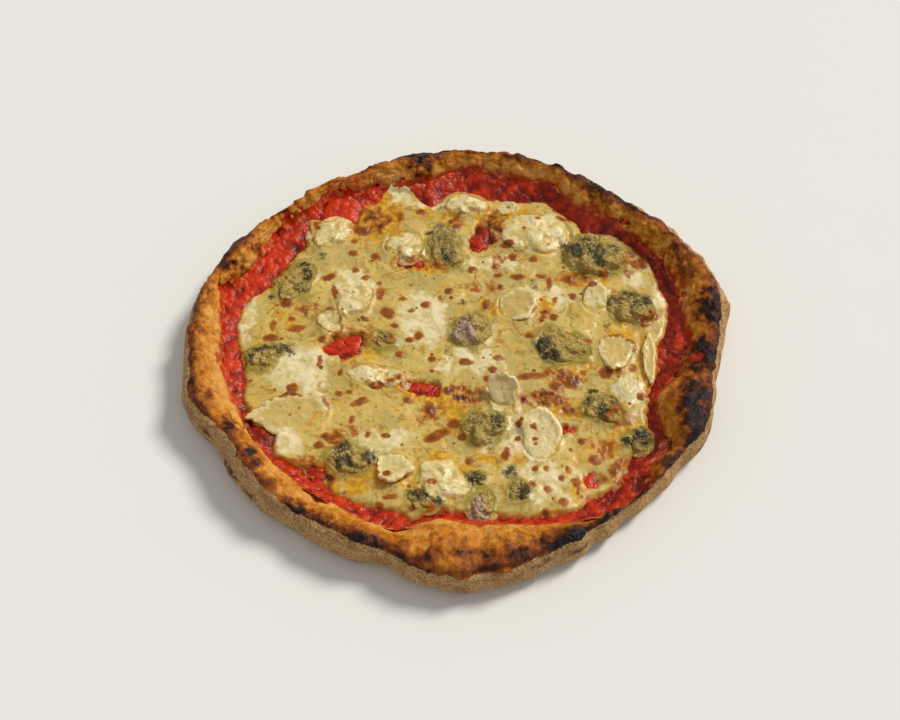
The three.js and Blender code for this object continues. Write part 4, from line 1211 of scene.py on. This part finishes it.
def soft_material(cheese, blue, settings):
    """Soft cheese, made once: pale paste, yellow at heart, with a paler rim and crisp golden edges."""
    if "Soft cheese" in bpy.data.materials:
        return bpy.data.materials["Soft cheese"]
    material, r = new_material("Soft cheese")
    tone = r.mix(r.ragged("heart", 3.5, 0.8, 3, 0.3, 0.9), settings.paste, settings.heart, 0.8)
    tone = r.mix(r.patch(3, 4, 0.5, 0.64, 0.4), tone, "CDB26A", 0.55)
    tone = r.mix(r.ragged("rim", 2.2, 0.5, 3, 0.35, 0.8), tone, settings.rim, 0.9)
    tone = r.mix(r.ragged("feather", 2, 0.7, 3, 0.3, 0.9), tone, cheese_tone(r, cheese, blue))
    crisp = r.plus(r.value("crisp"), 1.8, 0.7, 3)
    tone = r.mix(r.mask(crisp, 0.3, 0.6), tone, settings.crisp)
    tone = r.mix(r.mask(crisp, 0.65, 1.0), tone, cheese.burnt, 0.7)
    tone = browned(r, tone, cheese, 0.7)["Colour"]
    r.food(tone, r.wet(3, 3, 0.2, 0.46), r.grain(0.9), 0.42, 0.45, 0.22, 4, (1.0, 0.8, 0.45))
    return material


def floor_material(settings):
    """A matt pale floor with the faintest mottling."""
    material, r = new_material("Pale floor")
    tone = r.mix(r.noise(60, 2), settings.floor, tuple(0.9 * c for c in settings.floor), 0.1)
    r.finish({"Base Color": tone, "Roughness": 0.8})
    return material


# ---- operators ----

class PizzaOperator:
    """What every step of the pizza shares."""

    bl_options = {"REGISTER", "UNDO"}


class PIZZA_OT_crust(PizzaOperator, bpy.types.Operator):
    """Make the baked crust with its blistered, burnt rim"""

    bl_idname = "pizza.crust"
    bl_label = "Crust"

    def execute(self, context):
        settings = context.scene.pizza_crust
        points, place, angle = crust_points(settings)
        values = crust_values(points, place, angle)
        shell("crust_baked", points, crust_material(settings), "crust", values)
        return {"FINISHED"}


class PIZZA_OT_sauce(PizzaOperator, bpy.types.Operator):
    """Make the tomato sauce between the cheese and the rim"""

    bl_idname = "pizza.sauce"
    bl_label = "Tomato sauce"

    def execute(self, context):
        settings = context.scene.pizza_sauce
        points, values = sauce_points(settings)
        shell("sauce_spread", points, sauce_material(settings), "tomato_sauce", values)
        return {"FINISHED"}


class PIZZA_OT_melted_cheese(PizzaOperator, bpy.types.Operator):
    """Make the sheet of melted cheese"""

    bl_idname = "pizza.melted_cheese"
    bl_label = "Melted cheese"

    def execute(self, context):
        settings = context.scene.pizza_cheese
        points = cheese_points(settings)
        material = melted_material(settings, context.scene.pizza_blue)
        shell("cheese_melted", points, material, "melted_cheese", food_values(points * FLAT))
        return {"FINISHED"}


class PIZZA_OT_blue_cheese(PizzaOperator, bpy.types.Operator):
    """Make the crumbles of blue cheese"""

    bl_idname = "pizza.blue_cheese"
    bl_label = "Blue cheese"

    def execute(self, context):
        settings, cheese = context.scene.pizza_blue, context.scene.pizza_cheese
        material = blue_material(cheese, settings)
        for number, spec in enumerate(BLUE_CHEESE, start=1):
            points = lump_points(spec, BLUE_ROUGHNESS, settings.turns, settings.rows, BLUE_FLARE)
            near, second = crumbs(shifted(points, 3, 81, 1), 4.2, 82)
            fine, _ = crumbs(shifted(points, 1.5, 86, 0.5), 1.9, 87)
            relief = 0.8 * noise(points, 6, 83, 2) - 0.6 * ease(second - near, 0.25, 0.02)
            relief = relief + 0.5 * ease(fine, 0.7, 0.1) - 0.25
            held = ease(points[..., 2], CHEESE_TOP - 0.6, CHEESE_TOP + 0.8)
            points = raised(points, relief * held * settings.crumb / MM)
            values = topping_values(points, cheese, 0.6 * (spec[5] - CHEESE_TOP))
            values["toast"] = values["toast"] * 0.8
            values["crumb"] = ease(fine, 0.6, 0.1)
            side = points[..., 0] - spec[0] + 0.4 * (points[..., 1] - spec[1])
            values["rind"] = ease(side, 3, -2) if number in RIND_PIECES else 0.0
            node = f"blue_cheese_{number:02d}"
            shell(f"blue_crumble_{number:02d}", points, material, node, values)
        return {"FINISHED"}


class PIZZA_OT_soft_curds(PizzaOperator, bpy.types.Operator):
    """Make the half-melted curds of soft cheese"""

    bl_idname = "pizza.soft_curds"
    bl_label = "Soft curds"

    def execute(self, context):
        settings, cheese = context.scene.pizza_soft, context.scene.pizza_cheese
        material = soft_material(cheese, context.scene.pizza_blue, settings)
        for number, spec in enumerate(CURDS, start=1):
            points = lump_points(spec, CURD_ROUGHNESS, settings.turns, settings.rows, CURD_FLARE)
            folds = np.abs(noise(shifted(points, 6, 92, 2), 7, 94, 2))
            relief = noise(points, 9, 91, 2) - 1.1 * folds + 0.25 * noise(points, 2, 93)
            held = ease(points[..., 2], CHEESE_TOP - 0.6, CHEESE_TOP + 1.2)
            points = raised(points, relief * held * settings.softness / MM)
            values = topping_values(points, cheese, 0.8 * (spec[5] - CHEESE_TOP))
            values["crisp"] = 0.0
            values["heart"] = ease(noise(points, 7, 98, 2), 0.0, 0.5)
            values["rim"] = 0.9 * ease(noise(points, 8, 99, 2), 0.05, 0.45) * (1 - values["feather"])
            shell(f"curd_{number:02d}", points, material, f"soft_curd_{number:02d}", values)
        return {"FINISHED"}


class PIZZA_OT_soft_slices(PizzaOperator, bpy.types.Operator):
    """Make the leaning slices of soft cheese"""

    bl_idname = "pizza.soft_slices"
    bl_label = "Soft slices"

    def execute(self, context):
        settings, cheese = context.scene.pizza_soft, context.scene.pizza_cheese
        material = soft_material(cheese, context.scene.pizza_blue, settings)
        for number, (spec, look) in enumerate(zip(SLICES, SLICE_LOOKS), start=1):
            points, spread, marked = slice_points(spec, look, settings.turns, settings.rows)
            relief = 0.6 * noise(points, 6, 95, 2) + 0.3 * noise(points, 2.2, 96)
            points = raised(points, relief * settings.softness / MM)
            points[..., 2] = np.maximum(points[..., 2], TOPPING_BOTTOM)
            values = topping_values(points, cheese, 2.2)
            values["rim"] = ease(spread, 0.72, 0.95) * marked * look[2]
            values["crisp"] = ease(spread, 0.6, 0.95) * marked * look[3] * (0.8 + noise(points, 5, 88, 2))
            values["heart"] = ease(spread, 0.95, 0.6) * look[4]
            shell(f"slice_{number:02d}", points, material, f"soft_slice_{number:02d}", values)
        return {"FINISHED"}


# The camera: where its axis meets the floor, how far off it stands, its height in degrees and its roll.
CAMERA_AIM = (-4.43, -1.91)
CAMERA_DISTANCE = 663.8
CAMERA_ELEVATION = 55.38
CAMERA_ROLL = 1.69
SENSOR_WIDTH = 36
FLOOR_SIZE = 3.0
# The key light: the direction that it comes from and its height. Then its colour, and the room's.
KEY_FROM = (38, 44)
KEY_COLOUR = (1.0, 0.95, 0.84)
ROOM_COLOUR = (1.0, 0.96, 0.88)


def camera_axes(elevation, roll):
    """The turn of a camera that looks along +Y and down by the elevation, rolled about its axis."""
    forward = Vector((0, math.cos(elevation), -math.sin(elevation)))
    right = Vector((1, 0, 0))
    up = right.cross(forward)
    turned_right = right * math.cos(roll) + up * math.sin(roll)
    turned_up = up * math.cos(roll) - right * math.sin(roll)
    return forward, Matrix((turned_right, turned_up, -forward)).transposed().to_4x4()


class PIZZA_OT_stage(PizzaOperator, bpy.types.Operator):
    """Make the floor, the light and the camera"""

    bl_idname = "pizza.stage"
    bl_label = "Stage"

    def execute(self, context):
        scene, settings = context.scene, context.scene.pizza_stage
        half = 0.5 * FLOOR_SIZE
        mesh = bpy.data.meshes.new("floor")
        corners = [(-half, -half, 0), (half, -half, 0), (half, half, 0), (-half, half, 0)]
        mesh.from_pydata(corners, [], [(0, 1, 2, 3)])
        mesh.materials.append(floor_material(settings))
        floor = new_object("floor", mesh)
        key = bpy.data.lights.new("key", "SUN")
        key.energy, key.angle, key.color = settings.sun, settings.softness, KEY_COLOUR
        azimuth, height = map(math.radians, KEY_FROM)
        flat = math.cos(height)
        toward = Vector((flat * math.cos(azimuth), flat * math.sin(azimuth), math.sin(height)))
        new_object("key", key).rotation_euler = toward.to_track_quat("Z", "Y").to_euler()
        scene.world = bpy.data.worlds.new("soft_room")
        scene.world.use_nodes = True
        background = scene.world.node_tree.nodes["Background"].inputs
        background["Color"].default_value = opaque(ROOM_COLOUR)
        background["Strength"].default_value = settings.ambient
        scene.view_settings.view_transform = "Standard"
        camera = bpy.data.cameras.new("camera")
        camera.lens, camera.sensor_width = settings.lens, SENSOR_WIDTH
        camera.clip_start, camera.clip_end = 0.01, 10
        forward, axes = camera_axes(math.radians(CAMERA_ELEVATION), math.radians(CAMERA_ROLL))
        place = Vector((*CAMERA_AIM, 0)) * MM - forward * CAMERA_DISTANCE * MM
        scene.camera = new_object("camera", camera)
        scene.camera.matrix_world = Matrix.Translation(place) @ axes
        return {"FINISHED"}


STEPS = ("crust", "sauce", "melted_cheese", "blue_cheese", "soft_curds", "soft_slices", "stage")


class PIZZA_PT_panel(bpy.types.Panel):
    """Buttons for each step of the pizza"""

    bl_label = "Four Cheese Pizza"
    bl_space_type = "VIEW_3D"
    bl_region_type = "UI"
    bl_category = "Pizza"

    def draw(self, context):
        for step in STEPS:
            self.layout.operator(f"pizza.{step}")


SETTINGS = {
    "pizza_crust": CrustSettings, "pizza_sauce": SauceSettings, "pizza_cheese": MeltedCheeseSettings,
    "pizza_blue": BlueCheeseSettings, "pizza_soft": SoftCheeseSettings, "pizza_stage": StageSettings,
}
CLASSES = (
    *SETTINGS.values(), PIZZA_OT_crust, PIZZA_OT_sauce, PIZZA_OT_melted_cheese, PIZZA_OT_blue_cheese,
    PIZZA_OT_soft_curds, PIZZA_OT_soft_slices, PIZZA_OT_stage, PIZZA_PT_panel,
)


def register():
    """Adds the settings, the operators and the panel to Blender."""
    for kind in CLASSES:
        bpy.utils.register_class(kind)
    for name, group in SETTINGS.items():
        setattr(bpy.types.Scene, name, PointerProperty(type=group))


def unregister():
    """Takes them out again."""
    for name in SETTINGS:
        delattr(bpy.types.Scene, name)
    for kind in reversed(CLASSES):
        bpy.utils.unregister_class(kind)


def main():
    """Makes the whole pizza and its stage."""
    register()
    for step in STEPS:
        getattr(bpy.ops.pizza, step)()


if __name__ == "__main__":
    main()
